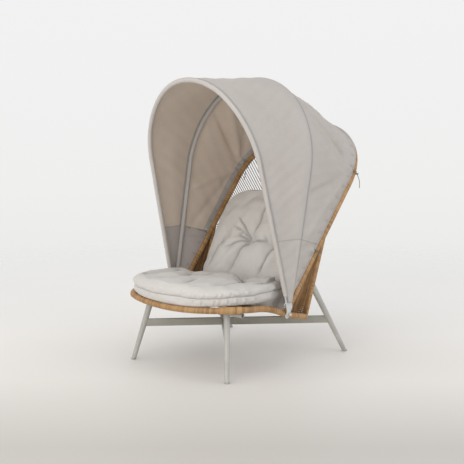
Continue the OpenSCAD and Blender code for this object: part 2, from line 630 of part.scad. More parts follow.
// Ropes: each strand ends on the wraps that it is tied to
rope_r = rope_d / 2;
function tied(p, w, d, r) = p + d * (r + 2 * seat_gap + rope_r * abs(d * w)) / norm(cross(d, w));
module strand(p, q, wp, wq, rp, rq, grow = 0) {
    d = unit(q - p);
    straight(tied(p, wp, d, rp), tied(q, wq, -d, rq), rope_r + grow);
}
corner_steps = 6;
lower_right = concat([for (i = [0 : corner_steps])
    bend_point(ring_path, ring_radii, 1, bend_angle(ring_path, 1) / 2 * i / corner_steps)], [post_top]);
lower_table = tables(concat(backward(lower_right), [for (p = lower_right) flip(p)]));
post_len = norm(post_top - post_foot);
layer_off = rope_r + seat_gap;
net_shift_share = 0.045;
function lower_r(d) = min(d, table_len(lower_table) - d) < post_len ? post_wrap_r : wrap_r;
module back_layer(shift, off, grow = 0) for (i = [0 : back_ropes - 1]) {
    da = net_place(i);
    dl = table_len(lower_table) * (net_share(i) + shift);
    p = at(arch_table, da);
    q = at(lower_table, dl);
    n = unit(cross(along_at(arch_table, da), q - p));
    strand(p + off * n, q + off * n, along_at(arch_table, da), along_at(lower_table, dl),
        wrap_r, lower_r(dl), grow);
}
module net_frame(grow) {
    for (k = [1 : len(arch_radii) - 2]) bend_part(arch_path(arch_join), arch_radii, k) circle(r = wrap_r + grow);
    both_sides() {
        arch_side_solid(wrap_r + grow);
        post_solid(post_wrap_r + grow);
        leg_solid(rear_foot, rear_leg_top, grow);
    }
    tie_rings(grow);
}
module back_ropes_front() framed(rope_c) difference() {
    back_layer(net_shift_share, layer_off);
    net_frame(seat_gap);
}
module back_ropes_rear() framed(rope_c) difference() {
    back_layer(-net_shift_share, -layer_off);
    back_layer(net_shift_share, layer_off, seat_gap);
    net_frame(seat_gap);
}
side_first_share = 0.2;
side_last_share = 0.86;
module side_strands() for (i = [0 : side_ropes - 1]) {
    f = mix(side_first_share, side_last_share, i / (side_ropes - 1));
    strand(mix(hinge, ring_rear, f), mix(hinge, post_top, f), unit(ring_rear - hinge), unit(post_top - hinge),
        wrap_r, wrap_r);
}
module side_ropes_right() framed(rope_c) side_strands();
module side_ropes_left() framed(rope_c) mirror([1, 0, 0]) side_strands();
seat_rope_first_share = 0.32;
seat_rope_last_share = 0.65;
module seat_ropes() framed(rope_c) for (i = [0 : seat_ropes_n - 1]) {
    d = ring_half_len * mix(seat_rope_first_share, seat_rope_last_share, i / (seat_ropes_n - 1));
    p = at(ring_table, d);
    w = along_at(ring_table, d);
    strand(p, flip(p), w, flip(w), wrap_r, wrap_r);
}

// Seat cushion: a boxed border that follows the ring, a crown and three sewn tufts
cushion_cols = 48;
seat_front_y = front_middle.y - wrap_r + 2 * seat_gap;
seat_rear_y = 556;
seat_front_share = 0.62;
seat_rear_share = 0.42;
seat_taper_share = 0.9;
seat_lift = wrap_r - seat_gap;
ring_samples = 90;
ring_side_points = [for (i = [0 : ring_samples]) at(ring_table, ring_half_len * i / ring_samples)];
function ring_z(x, y) = let (d = [for (q = ring_side_points) norm([q.x - abs(x), q.y - y])])
    ring_side_points[search(min(d), d)[0]].z;
function seat_outline(a) = let (e = sin(a) < 0 ? seat_front_share : seat_rear_share,
    x = seat_half * sgn_pow(cos(a), e) * mix(1, seat_taper_share, max(sin(a), 0)),
    y = mix(seat_front_y, seat_rear_y, (1 + sgn_pow(sin(a), e)) / 2)) [x, y];
seat_mid = [0, (seat_front_y + seat_rear_y) / 2];
tuft_wide = 62;
function dip(x, y, spots) = max([for (s = spots) exp(-pow(norm([x - s.x, y - s.y]) / tuft_wide, 2))]);
tuft_side_share = 0.57;
tuft_near_share = 0.6;
tuft_far_share = 0.75;
seat_tufts = [[-seat_half * tuft_side_share, mix(seat_front_y, seat_rear_y, tuft_near_share)],
    [seat_half * tuft_side_share, mix(seat_front_y, seat_rear_y, tuft_near_share)],
    [0, mix(seat_front_y, seat_rear_y, tuft_far_share)]];
seat_crown_power = 4;
function seat_under(a, r) = let (o = mix(seat_mid, seat_outline(a), r)) [o.x, o.y,
    mix(ring_z(seat_half, o.y), ring_z(seat_outline(a).x, seat_outline(a).y), sin(a) < 0 ? pow(r, 2) : 0)
        + seat_lift];
function seat_wall(a, r, up) = let (o = mix(seat_mid, seat_outline(a), r))
    [o.x, o.y, ring_z(seat_outline(a).x, seat_outline(a).y) + seat_lift + seat_border * up];
function seat_over(a, r) = let (o = mix(seat_mid, seat_outline(a), r),
    edge = ring_z(seat_outline(a).x, seat_outline(a).y) + seat_lift + seat_border)
    [o.x, o.y, mix(seat_level, edge, pow(r, seat_crown_power)) - tuft_deep * dip(o.x, o.y, seat_tufts)];
under_shares = [0.3, 0.6, 0.85, 0.955];
wall_shares = [[0.985, 0.12], [1, 0.45], [0.985, 0.82]];
over_shares = [0.95, 0.88, 0.8, 0.71, 0.62, 0.52, 0.42, 0.32, 0.21, 0.1];
module seat_cushion_solid() {
    angles = [for (i = [0 : cushion_cols - 1]) 360 * i / cushion_cols];
    closed_rings(concat([for (r = under_shares) [for (a = angles) seat_under(a, r)]],
        [for (w = wall_shares) [for (a = angles) seat_wall(a, w[0], w[1])]],
        [for (r = over_shares) [for (a = angles) seat_over(a, r)]]),
        seat_under(0, 0), seat_over(0, 0));
}
module seat_cushion() framed(cushion_c) seat_cushion_solid();

// Back cushion: leaning, thick in the middle, with three sewn tufts in its front
back_lean = 27;
back_foot = [0, 528, 379];
back_edge_t = 96;
back_round_share = 0.6;
back_crown_power = 2.6;
back_tufts = [[0, back_len * 0.42], [-back_half * 0.6, back_len * 0.44], [back_half * 0.6, back_len * 0.44]];
function back_outline(a) = [back_half * sgn_pow(cos(a), back_round_share),
    back_len * (1 + sgn_pow(sin(a), back_round_share)) / 2];
function back_half_t(r) = mix(back_t, back_edge_t, pow(r, back_crown_power)) / 2;
function back_point(a, r, face) = let (o = mix([0, back_len / 2], back_outline(a), r),
    t = back_half_t(r) - (face > 0 ? tuft_deep * dip(o.x, o.y, back_tufts) : 0))
    leaning(o.x, o.y, back_lean, face * t, back_foot);
module back_cushion_solid() {
    angles = [for (i = [0 : cushion_cols - 1]) 360 * i / cushion_cols];
    closed_rings(concat([for (r = backward(over_shares)) [for (a = angles) back_point(a, r, -1)]],
        [[for (a = angles) back_point(a, 1, 0)]],
        [for (r = over_shares) [for (a = angles) back_point(a, r, 1)]]),
        back_point(0, 0, -1), back_point(0, 0, 1));
}
module back_cushion() framed(cushion_c) difference() {
    back_cushion_solid();
    translate([0, 0, seat_gap]) seat_cushion_solid();
}

leg_front_left();
leg_front_right();
leg_rear_left();
leg_rear_right();
foot_glides();
cross_beam_lower();
cross_beam_upper();
beam_bolt();
beam_nut();
seat_ring_tube();
seat_rim_wrap();
seat_base_wrap();
front_cross_tube();
rim_bindings();
back_arch_tube();
back_arch_wrap();
rear_posts();
rear_post_wraps();
bracket_left();
bracket_right();
pivot_washers();
pivot_cap_nuts();
back_ropes_front();
back_ropes_rear();
side_ropes_left();
side_ropes_right();
seat_ropes();
seat_cushion();
back_cushion();
rear_hoop();
front_hoop();
rear_hoop_sleeve();
front_hoop_sleeve();
canopy_rear_panel();
canopy_front_panel();
rear_hem();
canopy_ties();
hem_eyelets();
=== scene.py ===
import math

import bpy
import numpy as np
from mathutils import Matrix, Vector


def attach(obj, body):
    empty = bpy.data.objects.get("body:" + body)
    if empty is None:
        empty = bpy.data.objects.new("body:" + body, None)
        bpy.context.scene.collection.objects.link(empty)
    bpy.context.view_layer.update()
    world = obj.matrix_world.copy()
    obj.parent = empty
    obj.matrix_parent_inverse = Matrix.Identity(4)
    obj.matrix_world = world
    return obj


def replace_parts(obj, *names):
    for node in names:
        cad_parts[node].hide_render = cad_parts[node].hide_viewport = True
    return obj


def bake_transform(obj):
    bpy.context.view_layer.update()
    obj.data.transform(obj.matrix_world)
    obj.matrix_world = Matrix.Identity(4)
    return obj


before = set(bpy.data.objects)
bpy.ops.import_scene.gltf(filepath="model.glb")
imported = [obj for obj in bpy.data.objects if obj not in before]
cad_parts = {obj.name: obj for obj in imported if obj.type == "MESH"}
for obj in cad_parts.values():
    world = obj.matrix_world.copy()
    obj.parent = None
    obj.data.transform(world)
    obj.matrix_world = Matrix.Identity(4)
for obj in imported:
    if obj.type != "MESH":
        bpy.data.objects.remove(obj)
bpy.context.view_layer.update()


# Studio: a pale floor that fades into a pale, even background
# The chair stands on a smooth off-white floor under large soft lamps, with no
# wall close behind it. Only the camera sees the background's own tone.
def linear(hex_colour):
    """sRGB hex to linear red, green, blue and alpha: c / 12.92 in the darks, a 2.4 power above."""
    c = np.array([int(hex_colour[i : i + 2], 16) for i in (1, 3, 5)]) / 255
    c = np.where(c <= 0.04045, c / 12.92, ((c + 0.055) / 1.055) ** 2.4)
    return (*c.tolist(), 1.0)


def add(tree, kind, inputs=None, stops=(), **settings):
    """Adds a shader node, sets its options and its colour stops of (place, hex colour), then
    links or sets its inputs. A node given for an input is linked from its first output."""
    made = tree.nodes.new("ShaderNode" + kind)
    for key, value in settings.items():
        setattr(made, key, value)
    if stops:
        row = made.color_ramp.elements
        for spare in list(row)[1:]:
            row.remove(spare)
        for k, (place, tone) in enumerate(stops):
            stop = row[0] if k == 0 else row.new(place)
            stop.position, stop.color = place, linear(tone)
    for key, value in (inputs or {}).items():
        if isinstance(value, bpy.types.Node):
            value = value.outputs[0]
        if isinstance(value, bpy.types.NodeSocket):
            tree.links.new(value, made.inputs[key])
        else:
            made.inputs[key].default_value = value
    return made


def new_material(name):
    """An empty node material and its tree."""
    made = bpy.data.materials.new(name)
    made.use_nodes = True
    made.node_tree.nodes.clear()
    return made, made.node_tree


def unit(v):
    """Vectors scaled to length one."""
    return v / np.linalg.norm(v, axis=-1, keepdims=True)


def piece_of(name, points, loops, starts, uv, finishes, smooth=None, finish_index=None):
    """An object at the origin from its points, the corners of its faces, and where each face
    starts among them. All its faces are shaded smooth unless smooth says which are."""
    mesh = bpy.data.meshes.new(name)
    mesh.vertices.add(len(points))
    mesh.vertices.foreach_set("co", points.astype(np.float32).ravel())
    mesh.loops.add(len(loops))
    mesh.loops.foreach_set("vertex_index", loops.astype(np.int32))
    mesh.polygons.add(len(starts))
    mesh.polygons.foreach_set("loop_start", starts.astype(np.int32))
    mesh.polygons.foreach_set("use_smooth", np.ones(len(starts), bool) if smooth is None else smooth)
    for finish in finishes:
        mesh.materials.append(finish)
    if finish_index is not None:
        mesh.polygons.foreach_set("material_index", finish_index)
    mesh.uv_layers.new(name="UVMap").data.foreach_set("uv", uv.astype(np.float32).ravel())
    mesh.update(calc_edges=True)
    mesh.validate()
    made = bpy.data.objects.new(name, mesh)
    bpy.context.collection.objects.link(made)
    return made


def surface(name, grid, u, v, around=False, ends=False, finishes=(), finish_of=None, turned=False):
    """A mesh from grid[i, j]: quads between neighbours, closed round j when around is set,
    with a fan of triangles on each end when ends is set. Its UV is (u[i], v[j]), in metres.
    Its normal is dP/dj x dP/di, or the other way when turned is set."""
    n, m = grid.shape[:2]
    columns = m if around else m - 1
    i, j = (k.ravel() for k in np.meshgrid(np.arange(n - 1), np.arange(columns), indexing="ij"))
    corner = [(i, j), (i, j + 1), (i + 1, j + 1), (i + 1, j)]
    if turned:
        corner.reverse()
    loops = np.stack([a * m + b % m for a, b in corner], 1)
    uv = np.stack([np.stack([u[a], v[b]], 1) for a, b in corner], 1).reshape(-1, 2)
    points, starts, loops = grid.reshape(-1, 3), np.arange(len(loops)) * 4, loops.ravel()
    if ends:
        k = np.arange(m)
        caps = [((k + 1) % m, k, 0), ((n - 1) * m + k, (n - 1) * m + (k + 1) % m, n - 1)]
        for a, b, row in caps:
            tip = np.full(m, len(points))
            points = np.vstack([points, grid[row].mean(0)])
            starts = np.r_[starts, len(loops) + np.arange(m) * 3]
            loops = np.r_[loops, np.stack([a, b, tip], 1).ravel()]
            uv = np.vstack([uv, np.tile([u[row], v[0]], (3 * m, 1))])
    index = None
    if finish_of is not None:
        index = np.zeros(len(starts), np.int32)
        index[: len(i)] = finish_of[i, np.minimum(j, finish_of.shape[1] - 1)]
    return piece_of(name, points, loops, starts, uv, finishes, finish_index=index)


scene = bpy.context.scene
scene.view_settings.view_transform = "Standard"
world = bpy.data.worlds.new("studio_air")
scene.world = world
world.use_nodes = True
air = world.node_tree
air.nodes.clear()
sky = add(air, "TexCoord").outputs["Generated"]
height = add(air, "SeparateXYZ", {"Vector": sky}).outputs["Z"]
horizon = add(air, "MapRange", {"Value": height, "From Min": -0.25, "From Max": 0.15})
backdrop = add(air, "ValToRGB", {"Fac": horizon},
               [(0.0, "#E6E5E3"), (0.4, "#EFEFEE"), (0.7, "#F1F1F1"), (1.0, "#F2F2F4")])
rays = add(air, "LightPath").outputs
shown = add(air, "Math", {0: rays["Is Camera Ray"], 1: rays["Is Transmission Ray"]}, operation="MAXIMUM")
shown = add(air, "Math", {0: shown, 1: rays["Is Glossy Ray"]}, operation="MAXIMUM")
fill = add(air, "Background", {"Color": linear("#F4F5F7"), "Strength": 0.93})
plain = add(air, "Background", {"Color": backdrop, "Strength": 1.0})
add(air, "OutputWorld", {"Surface": add(air, "MixShader", {0: shown, 1: fill, 2: plain})})

# Painted light and shade: the floor's colour is darker on the camera's side and lighter beyond the chair,
# away from the lamps, and the floor clears into the background all round.
floor_reach, floor_cells = 7.0, 48
fade_from, fade_to = 2.0, 4.6
across = np.linspace(-floor_reach, floor_reach, floor_cells + 1)
floor_grid = np.stack(np.meshgrid(across, across, [0.0], indexing="ij"), -1)[:, :, 0, :]
floor_paint, tree = new_material("smooth_off_white_studio_floor")
place = add(tree, "TexCoord").outputs["Object"]
reach = add(tree, "VectorMath", {0: place}, operation="LENGTH").outputs["Value"]
nearer = add(tree, "VectorMath", {0: place, 1: (0.66, -0.75, 0.0)}, operation="DOT_PRODUCT").outputs["Value"]
slope = add(tree, "MapRange", {"Value": nearer, "From Min": -3.0, "From Max": 3.0})
tone = add(tree, "ValToRGB", {"Fac": slope},
           [(0.0, "#EDECEA"), (0.45, "#E6E3DE"), (0.6, "#DAD6D0"), (0.75, "#B9B5AF")])
bsdf = add(tree, "BsdfPrincipled", {"Base Color": tone, "Roughness": 0.55, "Specular IOR Level": 0.25})
fade = add(tree, "MapRange", {"Value": reach, "From Min": fade_from, "From Max": fade_to},
           interpolation_type="SMOOTHSTEP")
cleared = add(tree, "MixShader", {0: fade, 1: bsdf, 2: add(tree, "BsdfTransparent")})
add(tree, "OutputMaterial", {"Surface": cleared})
floor = surface("studio_floor", floor_grid, across, across, finishes=[floor_paint], turned=True)


def lamp(name, place, aim, size, watts, tone):
    """A square area lamp at place, turned to shine at aim."""
    data = bpy.data.lights.new(name, "AREA")
    data.size, data.energy, data.color = size, watts, linear(tone)[:3]
    made = bpy.data.objects.new(name, data)
    bpy.context.collection.objects.link(made)
    made.location = place
    made.rotation_euler = (Vector(aim) - Vector(place)).to_track_quat("-Z", "Y").to_euler()


lamp("key_softbox", (-2.6, -3.6, 4.2), (0, 0, 0.6), 2.6, 30, "#FFFDF9")
lamp("top_softbox", (0.4, 0.2, 4.6), (0, 0, 0.6), 3.4, 16, "#FFFFFF")
lamp("side_softbox", (4.2, 0.6, 2.2), (0, 0, 0.7), 2.2, 40, "#F7F9FF")
lamp("front_softbox", (1.2, -4.6, 1.5), (0, 0.1, 0.8), 3.2, 98, "#FFFBF7")

# The lens and place follow from the chair's own size and its outline in the picture.
camera_data = bpy.data.cameras.new("camera")
camera_data.lens, camera_data.sensor_width = 71.84, 36.0
camera = bpy.data.objects.new("camera", camera_data)
bpy.context.collection.objects.link(camera)
camera.location = (3.269, -3.8748, 1.365)
camera.rotation_euler = (math.radians(90 - 7.85), 0, math.radians(41.19))
scene.camera = camera


# Legs, crossed beams and glides
# Tapered steel tubes stand on round plastic glides. Two flat beams, halved
# into each other and bolted, tie each front leg to the rear leg across from it.
def powder_coat(name, tone, shade):
    """Powder-coated metal: a warm white skin with a fine orange-peel and the faintest dust."""
    made, tree = new_material(name)
    where = add(tree, "TexCoord").outputs["Object"]
    peel = add(tree, "TexNoise", {"Vector": where, "Scale": 420.0, "Detail": 2.0})
    cloud = add(tree, "TexNoise", {"Vector": where, "Scale": 9.0, "Detail": 3.0})
    paint = add(tree, "ValToRGB", {"Fac": cloud}, [(0.32, shade), (0.68, tone)])
    bump = add(tree, "Bump", {"Height": peel, "Distance": 0.00012, "Strength": 0.5})
    bsdf = add(tree, "BsdfPrincipled", {"Base Color": paint, "Normal": bump, "Roughness": 0.42,
                                        "Coat Weight": 0.12, "Coat Roughness": 0.25})
    add(tree, "OutputMaterial", {"Surface": bsdf})
    return made


def dress(node, finish):
    """Gives a carried-over solid its finish, in place of the plain one."""
    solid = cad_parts[node]
    solid.data.materials.clear()
    solid.data.materials.append(finish)


# Painted shade: the legs' warm white is set darker than the same white on the hinge fittings, for the shade
# they stand in; the front cross tube shares it.
white_coat_painted_shade = powder_coat("powder_coated_steel_warm_white_painted_shade", "#A9A8A2", "#9C9B95")
# Painted shade: the beams under the seat get a darker copy of the same white paint.
beam_coat_painted_shade = powder_coat("powder_coated_steel_beam_painted_shade", "#96948A", "#89877D")
for leg in ("leg_front_left", "leg_front_right", "leg_rear_left", "leg_rear_right"):
    dress(leg, white_coat_painted_shade)
for beam in ("cross_beam_lower", "cross_beam_upper"):
    dress(beam, beam_coat_painted_shade)

# Moulded glides are dull and a little scuffed.
glide_plastic, tree = new_material("moulded_polyamide_pale_grey")
where = add(tree, "TexCoord").outputs["Object"]
pits = add(tree, "TexNoise", {"Vector": where, "Scale": 900.0, "Detail": 1.0})
scuff = add(tree, "TexNoise", {"Vector": where, "Scale": 60.0, "Detail": 4.0})
paint = add(tree, "ValToRGB", {"Fac": scuff}, [(0.35, "#8F8E89"), (0.6, "#A3A29C")])
bump = add(tree, "Bump", {"Height": pits, "Distance": 0.0001, "Strength": 0.4})
bsdf = add(tree, "BsdfPrincipled", {"Base Color": paint, "Normal": bump, "Roughness": 0.5})
add(tree, "OutputMaterial", {"Surface": bsdf})
dress("foot_glides", glide_plastic)


def worn_metal(name, dark, light, grain, rough, relief):
    """Bare or plated metal with a faint cloud of wear: its own colour, bright but not a mirror."""
    made, tree = new_material(name)
    where = add(tree, "TexCoord").outputs["Object"]
    wear = add(tree, "TexNoise", {"Vector": where, "Scale": grain, "Detail": 3.0})
    paint = add(tree, "ValToRGB", {"Fac": wear}, [(0.3, dark), (0.7, light)])
    bump = add(tree, "Bump", {"Height": wear, "Distance": 0.00005, "Strength": relief})
    bsdf = add(tree, "BsdfPrincipled", {"Base Color": paint, "Normal": bump, "Roughness": rough,
                                        "Metallic": 1.0})
    add(tree, "OutputMaterial", {"Surface": bsdf})
    return made


bright_zinc = worn_metal("zinc_plated_steel", "#9C9B97", "#C2C1BC", 260.0, 0.34, 0.3)
for fitting in ("beam_bolt", "beam_nut", "pivot_washers"):
    dress(fitting, bright_zinc)

# Primed steel shows only in the hair of a gap between two lengths of wrap: matt and brown.
core_steel, tree = new_material("drawn_steel_tube_primed")
where = add(tree, "TexCoord").outputs["Object"]
haze = add(tree, "TexNoise", {"Vector": where, "Scale": 90.0, "Detail": 3.0})
paint = add(tree, "ValToRGB", {"Fac": haze}, [(0.3, "#5A4326"), (0.7, "#6B5232")])
bsdf = add(tree, "BsdfPrincipled", {"Base Color": paint, "Roughness": 0.55})
add(tree, "OutputMaterial", {"Surface": bsdf})
for core in ("seat_ring_tube", "back_arch_tube", "rear_posts"):
    dress(core, core_steel)
dress("front_cross_tube", white_coat_painted_shade)


# Seat ring and its wound wrap
# One steel tube runs round the seat and dips at the front. Flat woven-look
# strip is wound round it tightly from end to end, turn against turn.
def bent_line(corners, cuts, step):
    """Points at even steps along straight runs whose corners are arcs that start the given cut
    short of each: r = cut / tan(turn / 2), arc = centre + r * (cos t * out + sin t * along)."""
    P = np.asarray(corners, float)
    parts = [P[:1]]
    for k in range(1, len(P) - 1):
        come, go = unit(P[k] - P[k - 1]), unit(P[k + 1] - P[k])
        turning = math.acos(np.clip(come @ go, -1, 1))
        radius = cuts[k] / math.tan(turning / 2)
        centre = P[k] + unit(go - come) * radius / math.cos(turning / 2)
        out_from = unit(P[k] - come * cuts[k] - centre)
        t = np.linspace(0, turning, 40)[:, None]
        parts.append(centre + radius * (np.cos(t) * out_from + np.sin(t) * come))
    return evenly(np.vstack(parts + [P[-1:]]), step)


def run_of(line):
    """The distance along a line at each of its points."""
    return np.r_[0, np.cumsum(np.linalg.norm(np.diff(line, axis=0), axis=1))]


def point_on(line, s):
    """The points of a line at the distances s along it."""
    d = run_of(line)
    return np.stack([np.interp(s, d, line[:, k]) for k in range(3)], -1)


def evenly(line, step):
    """The same line as points about one step apart."""
    whole = run_of(line)[-1]
    return point_on(line, np.linspace(0, whole, max(int(round(whole / step)), 1) + 1))


def frame_along(line, side):
    """Unit vectors along the line, across it nearest to side, and at right angles to both."""
    ahead = unit(np.gradient(line, axis=0))
    across = unit(side - (side * ahead).sum(-1, keepdims=True) * ahead)
    return ahead, across, np.cross(ahead, across)


def tube(name, line, side, radius, sides, finishes, ends=True):
    """A tube: line + radius(s, angle) * (cos angle * across + sin angle * third)."""
    ahead, across, third = frame_along(line, np.asarray(side, float))
    s = run_of(line)[:, None]
    a = np.linspace(0, 2 * math.pi, sides, endpoint=False)[None, :]
    r = radius(s, a)[..., None]
    around = np.cos(a)[..., None] * across[:, None] + np.sin(a)[..., None] * third[:, None]
    return surface(name, line[:, None] + r * around, s.ravel(),
                   np.linspace(0, 2 * math.pi * float(r.mean()), sides + 1),
                   around=True, ends=ends, finishes=finishes)


def mirrored(points):
    """The same points on the chair's other side."""
    return np.asarray(points, float) * [-1, 1, 1]


def cane_wrap(name, light, mid, dark, turn_mm):
    """Wound resin wicker: flat strip in tan, streaked along its length, each turn a touch
    lighter or darker. Its UV is metres along and round, and 0.1 m is taken as once round."""
    made, tree = new_material(name)
    uv = add(tree, "TexCoord").outputs["UV"]
    part = add(tree, "SeparateXYZ", {"Vector": uv}).outputs
    lean = add(tree, "Math", {0: part["Y"], 1: turn_mm / 1000 / 0.1}, operation="MULTIPLY")
    along = add(tree, "Math", {0: part["X"], 1: lean}, operation="ADD")
    turns = add(tree, "Math", {0: along, 1: 1000 / turn_mm}, operation="MULTIPLY")
    each = add(tree, "Math", {0: turns}, operation="FLOOR")
    luck = add(tree, "TexWhiteNoise", {"W": each}, noise_dimensions="1D")
    stretched = add(tree, "VectorMath", {0: uv, 1: (60.0, 900.0, 1.0)}, operation="MULTIPLY")
    grain = add(tree, "TexNoise", {"Vector": stretched, "Scale": 1.0, "Detail": 3.0})
    where = add(tree, "TexCoord").outputs["Object"]
    cloud = add(tree, "TexNoise", {"Vector": where, "Scale": 14.0, "Detail": 2.0})
    luck = add(tree, "Math", {0: luck, 1: 0.34}, operation="MULTIPLY")
    grain = add(tree, "Math", {0: grain, 1: 0.36, 2: luck}, operation="MULTIPLY_ADD")
    tone = add(tree, "Math", {0: cloud, 1: 0.4, 2: grain}, operation="MULTIPLY_ADD")
    paint = add(tree, "ValToRGB", {"Fac": tone}, [(0.25, dark), (0.5, mid), (0.78, light)])
    bump = add(tree, "Bump", {"Height": grain, "Distance": 0.00025, "Strength": 0.6})
    bsdf = add(tree, "BsdfPrincipled", {"Base Color": paint, "Normal": bump, "Roughness": 0.5,
                                        "Specular IOR Level": 0.4})
    add(tree, "OutputMaterial", {"Surface": bsdf})
    return made


def wound(radius, relief, pitch, samples=5):
    """Radius of a wound strip: flat turns that dip by relief where they meet, on a helix of one
    pitch a turn: radius - relief * (2 * part of a turn - 1) ** 6."""

    def at(s, a):
        part = (s / pitch + a / (2 * math.pi)) % 1.0
        return radius - relief * np.abs(2 * part - 1) ** 6

    return at, pitch / samples


wicker = cane_wrap("wound_resin_wicker_tan", "#AF8C60", "#9A754A", "#775834", 9.0)
wicker_bind = cane_wrap("wound_resin_wicker_binding", "#B39064", "#9C774C", "#725330", 11.0)

middle_y = 0.5628
ring_half, hinge_y, hinge_z = 0.388, 0.395 - middle_y, 0.288
corner_y, corner_z, bow, dip = -0.022 - middle_y, 0.374, 0.078, 0.032
rear_half, rear_y, rear_z, rear_r = 0.386, 0.598 - middle_y, 0.240, 0.040
wrap_r, wrap_turn, wrap_relief = 0.016, 0.009, 0.0006
hinge = np.array([ring_half, hinge_y, hinge_z])
ring_corner = np.array([ring_half, corner_y, corner_z])
ring_side = hinge + (ring_corner - hinge) * [0, 1 - 0.717, 0.63]
ring_front = np.array([0.0, corner_y - bow, corner_z - dip])
ring_rear = np.array([rear_half, rear_y, rear_z])
side_run, front_run = np.linalg.norm(ring_side - hinge), np.linalg.norm(ring_front - ring_corner)
split = hinge + (ring_rear - hinge) * 0.3
rim_right = [split, hinge, ring_side, ring_corner]
rim_corners = rim_right + [ring_front] + [mirrored(p) for p in rim_right[::-1]]
# How far each bend reaches along the run beside it, as a share of that run.
hinge_bend, dip_bend, corner_bend, front_bend = 0.12, 0.82, 0.427, 0.568
rim_cuts = [0, side_run * hinge_bend, side_run * dip_bend, front_run * corner_bend, front_run * front_bend]
rim_cuts = rim_cuts + rim_cuts[-2::-1]
turn_radius, wrap_step = wound(wrap_r, wrap_relief, wrap_turn)
rim_line = bent_line(rim_corners, rim_cuts, wrap_step)
rim = tube("seat_rim_wicker", rim_line, (0, 0, 1), turn_radius, 20, [wicker])
base_corners = [split, ring_rear, mirrored(ring_rear), mirrored(split)]
to_middle, to_hinge = np.array([-1.0, 0, 0]), unit(hinge - ring_rear)
corner_half_angle = math.acos(to_middle @ to_hinge) / 2
rear_cut = rear_r / math.tan(corner_half_angle)
base_line = bent_line(base_corners, [0, rear_cut, rear_cut, 0], wrap_step)
base = tube("seat_base_wicker", base_line, (0, 0, 1), turn_radius, 20, [wicker])
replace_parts(rim, "seat_rim_wrap")
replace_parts(base, "seat_base_wrap")

# A second, wider strip binds the rim over the cross tube behind each front leg.
bind_turn, bind_r, bind_relief, bind_half = 0.012, 0.0192, 0.0022, 0.062
bind_share, bind_behind, bind_below = 0.955, 0.02, 0.004
bind_radius, bind_step = wound(bind_r, bind_relief, bind_turn, 9)


def gripped(s, a):
    """The binding's radius, drawn in by 3 mm over the last eighth of its length at each end."""
    return bind_radius(s, a) - 0.003 * np.clip(np.abs(s / bind_half - 1) * 8 - 7, 0, 1) ** 2


bindings, rim_run = [], run_of(rim_line)
for side, hand in ((1, "right"), (-1, "left")):
    over_leg = [side * ring_half * bind_share, corner_y + bind_behind, corner_z - bind_below]
    middle = rim_run[np.argmin(np.linalg.norm(rim_line - over_leg, axis=1))]
    span = np.linspace(middle - bind_half, middle + bind_half, int(2 * bind_half / bind_step))
    over = point_on(rim_line, span)
    bindings.append(tube(f"rim_binding_{hand}", over, (0, 0, 1), gripped, 28, [wicker_bind]))
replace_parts(bindings[0], "rim_bindings")
for piece in [rim, base] + bindings:
    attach(piece, "chair")


# Back arch and rear posts
# A steel arch leans back from the seat's hinges, braced by a post from each
# rear corner of the ring. Both are wound in the same flat strip.
def leaning(x, s, lean, origin, ahead=0.0):
    """Points of a plane that leans about the hinge line: x across, s up the plane, ahead of it."""
    x, s = np.broadcast_arrays(np.asarray(x, float), np.asarray(s, float))
    return np.stack([x, origin[1] + s * math.sin(lean) - ahead * math.cos(lean),
                     origin[2] + s * math.cos(lean) + ahead * math.sin(lean)], -1)


arch_lean, arch_half, arch_len, post_join = math.radians(40.4), 0.407, 1.247, 0.494
arch_ahead = np.array([0, -math.cos(arch_lean), math.sin(arch_lean)])


def arch_line(start, step):
    """The arch's centre line from a height up one side to the same height on the other."""
    x = ring_half + (arch_half - ring_half) * start / arch_len
    right = [leaning(x, start, arch_lean, hinge), leaning(arch_half, arch_len, arch_lean, hinge)]
    cut = arch_half * 0.9999
    return bent_line(right + [mirrored(p) for p in right[::-1]], [0, cut, cut, 0], step)


arch = tube("back_arch_wicker", arch_line(wrap_r / 2, wrap_step), arch_ahead, turn_radius, 20, [wicker])
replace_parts(arch, "back_arch_wrap")
post_foot = ring_rear + unit(to_middle + to_hinge) * rear_r * (1 / math.sin(corner_half_angle) - 1)
post_top = leaning(ring_half + (arch_half - ring_half) * post_join / arch_len, post_join, arch_lean, hinge)
post_r = 0.0145
post_radius, post_step = wound(post_r, wrap_relief, wrap_turn)
posts = [arch]
for side, hand in ((1, "right"), (-1, "left")):
    ends = np.array([post_foot, post_top]) * [side, 1, 1]
    run = unit(ends[1] - ends[0])
    post_line = evenly(np.array([ends[0] + run * 0.010, ends[1] - run * 0.012]), post_step)
    posts.append(tube(f"rear_post_wicker_{hand}", post_line, (1, 0, 0), post_radius, 18, [wicker]))
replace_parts(posts[1], "rear_post_wraps")
for piece in posts:
    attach(piece, "chair")


# Canopy hinges
# A white steel plate is welded out from the frame at each hinge. The hoops'
# flattened ends, a washer and a domed nut are stacked on its one stud.
fitting_coat = powder_coat("powder_coated_steel_fitting", "#C6C7C6", "#BABBBA")
for fitting in ("bracket_left", "bracket_right", "pivot_cap_nuts"):
    dress(fitting, fitting_coat)


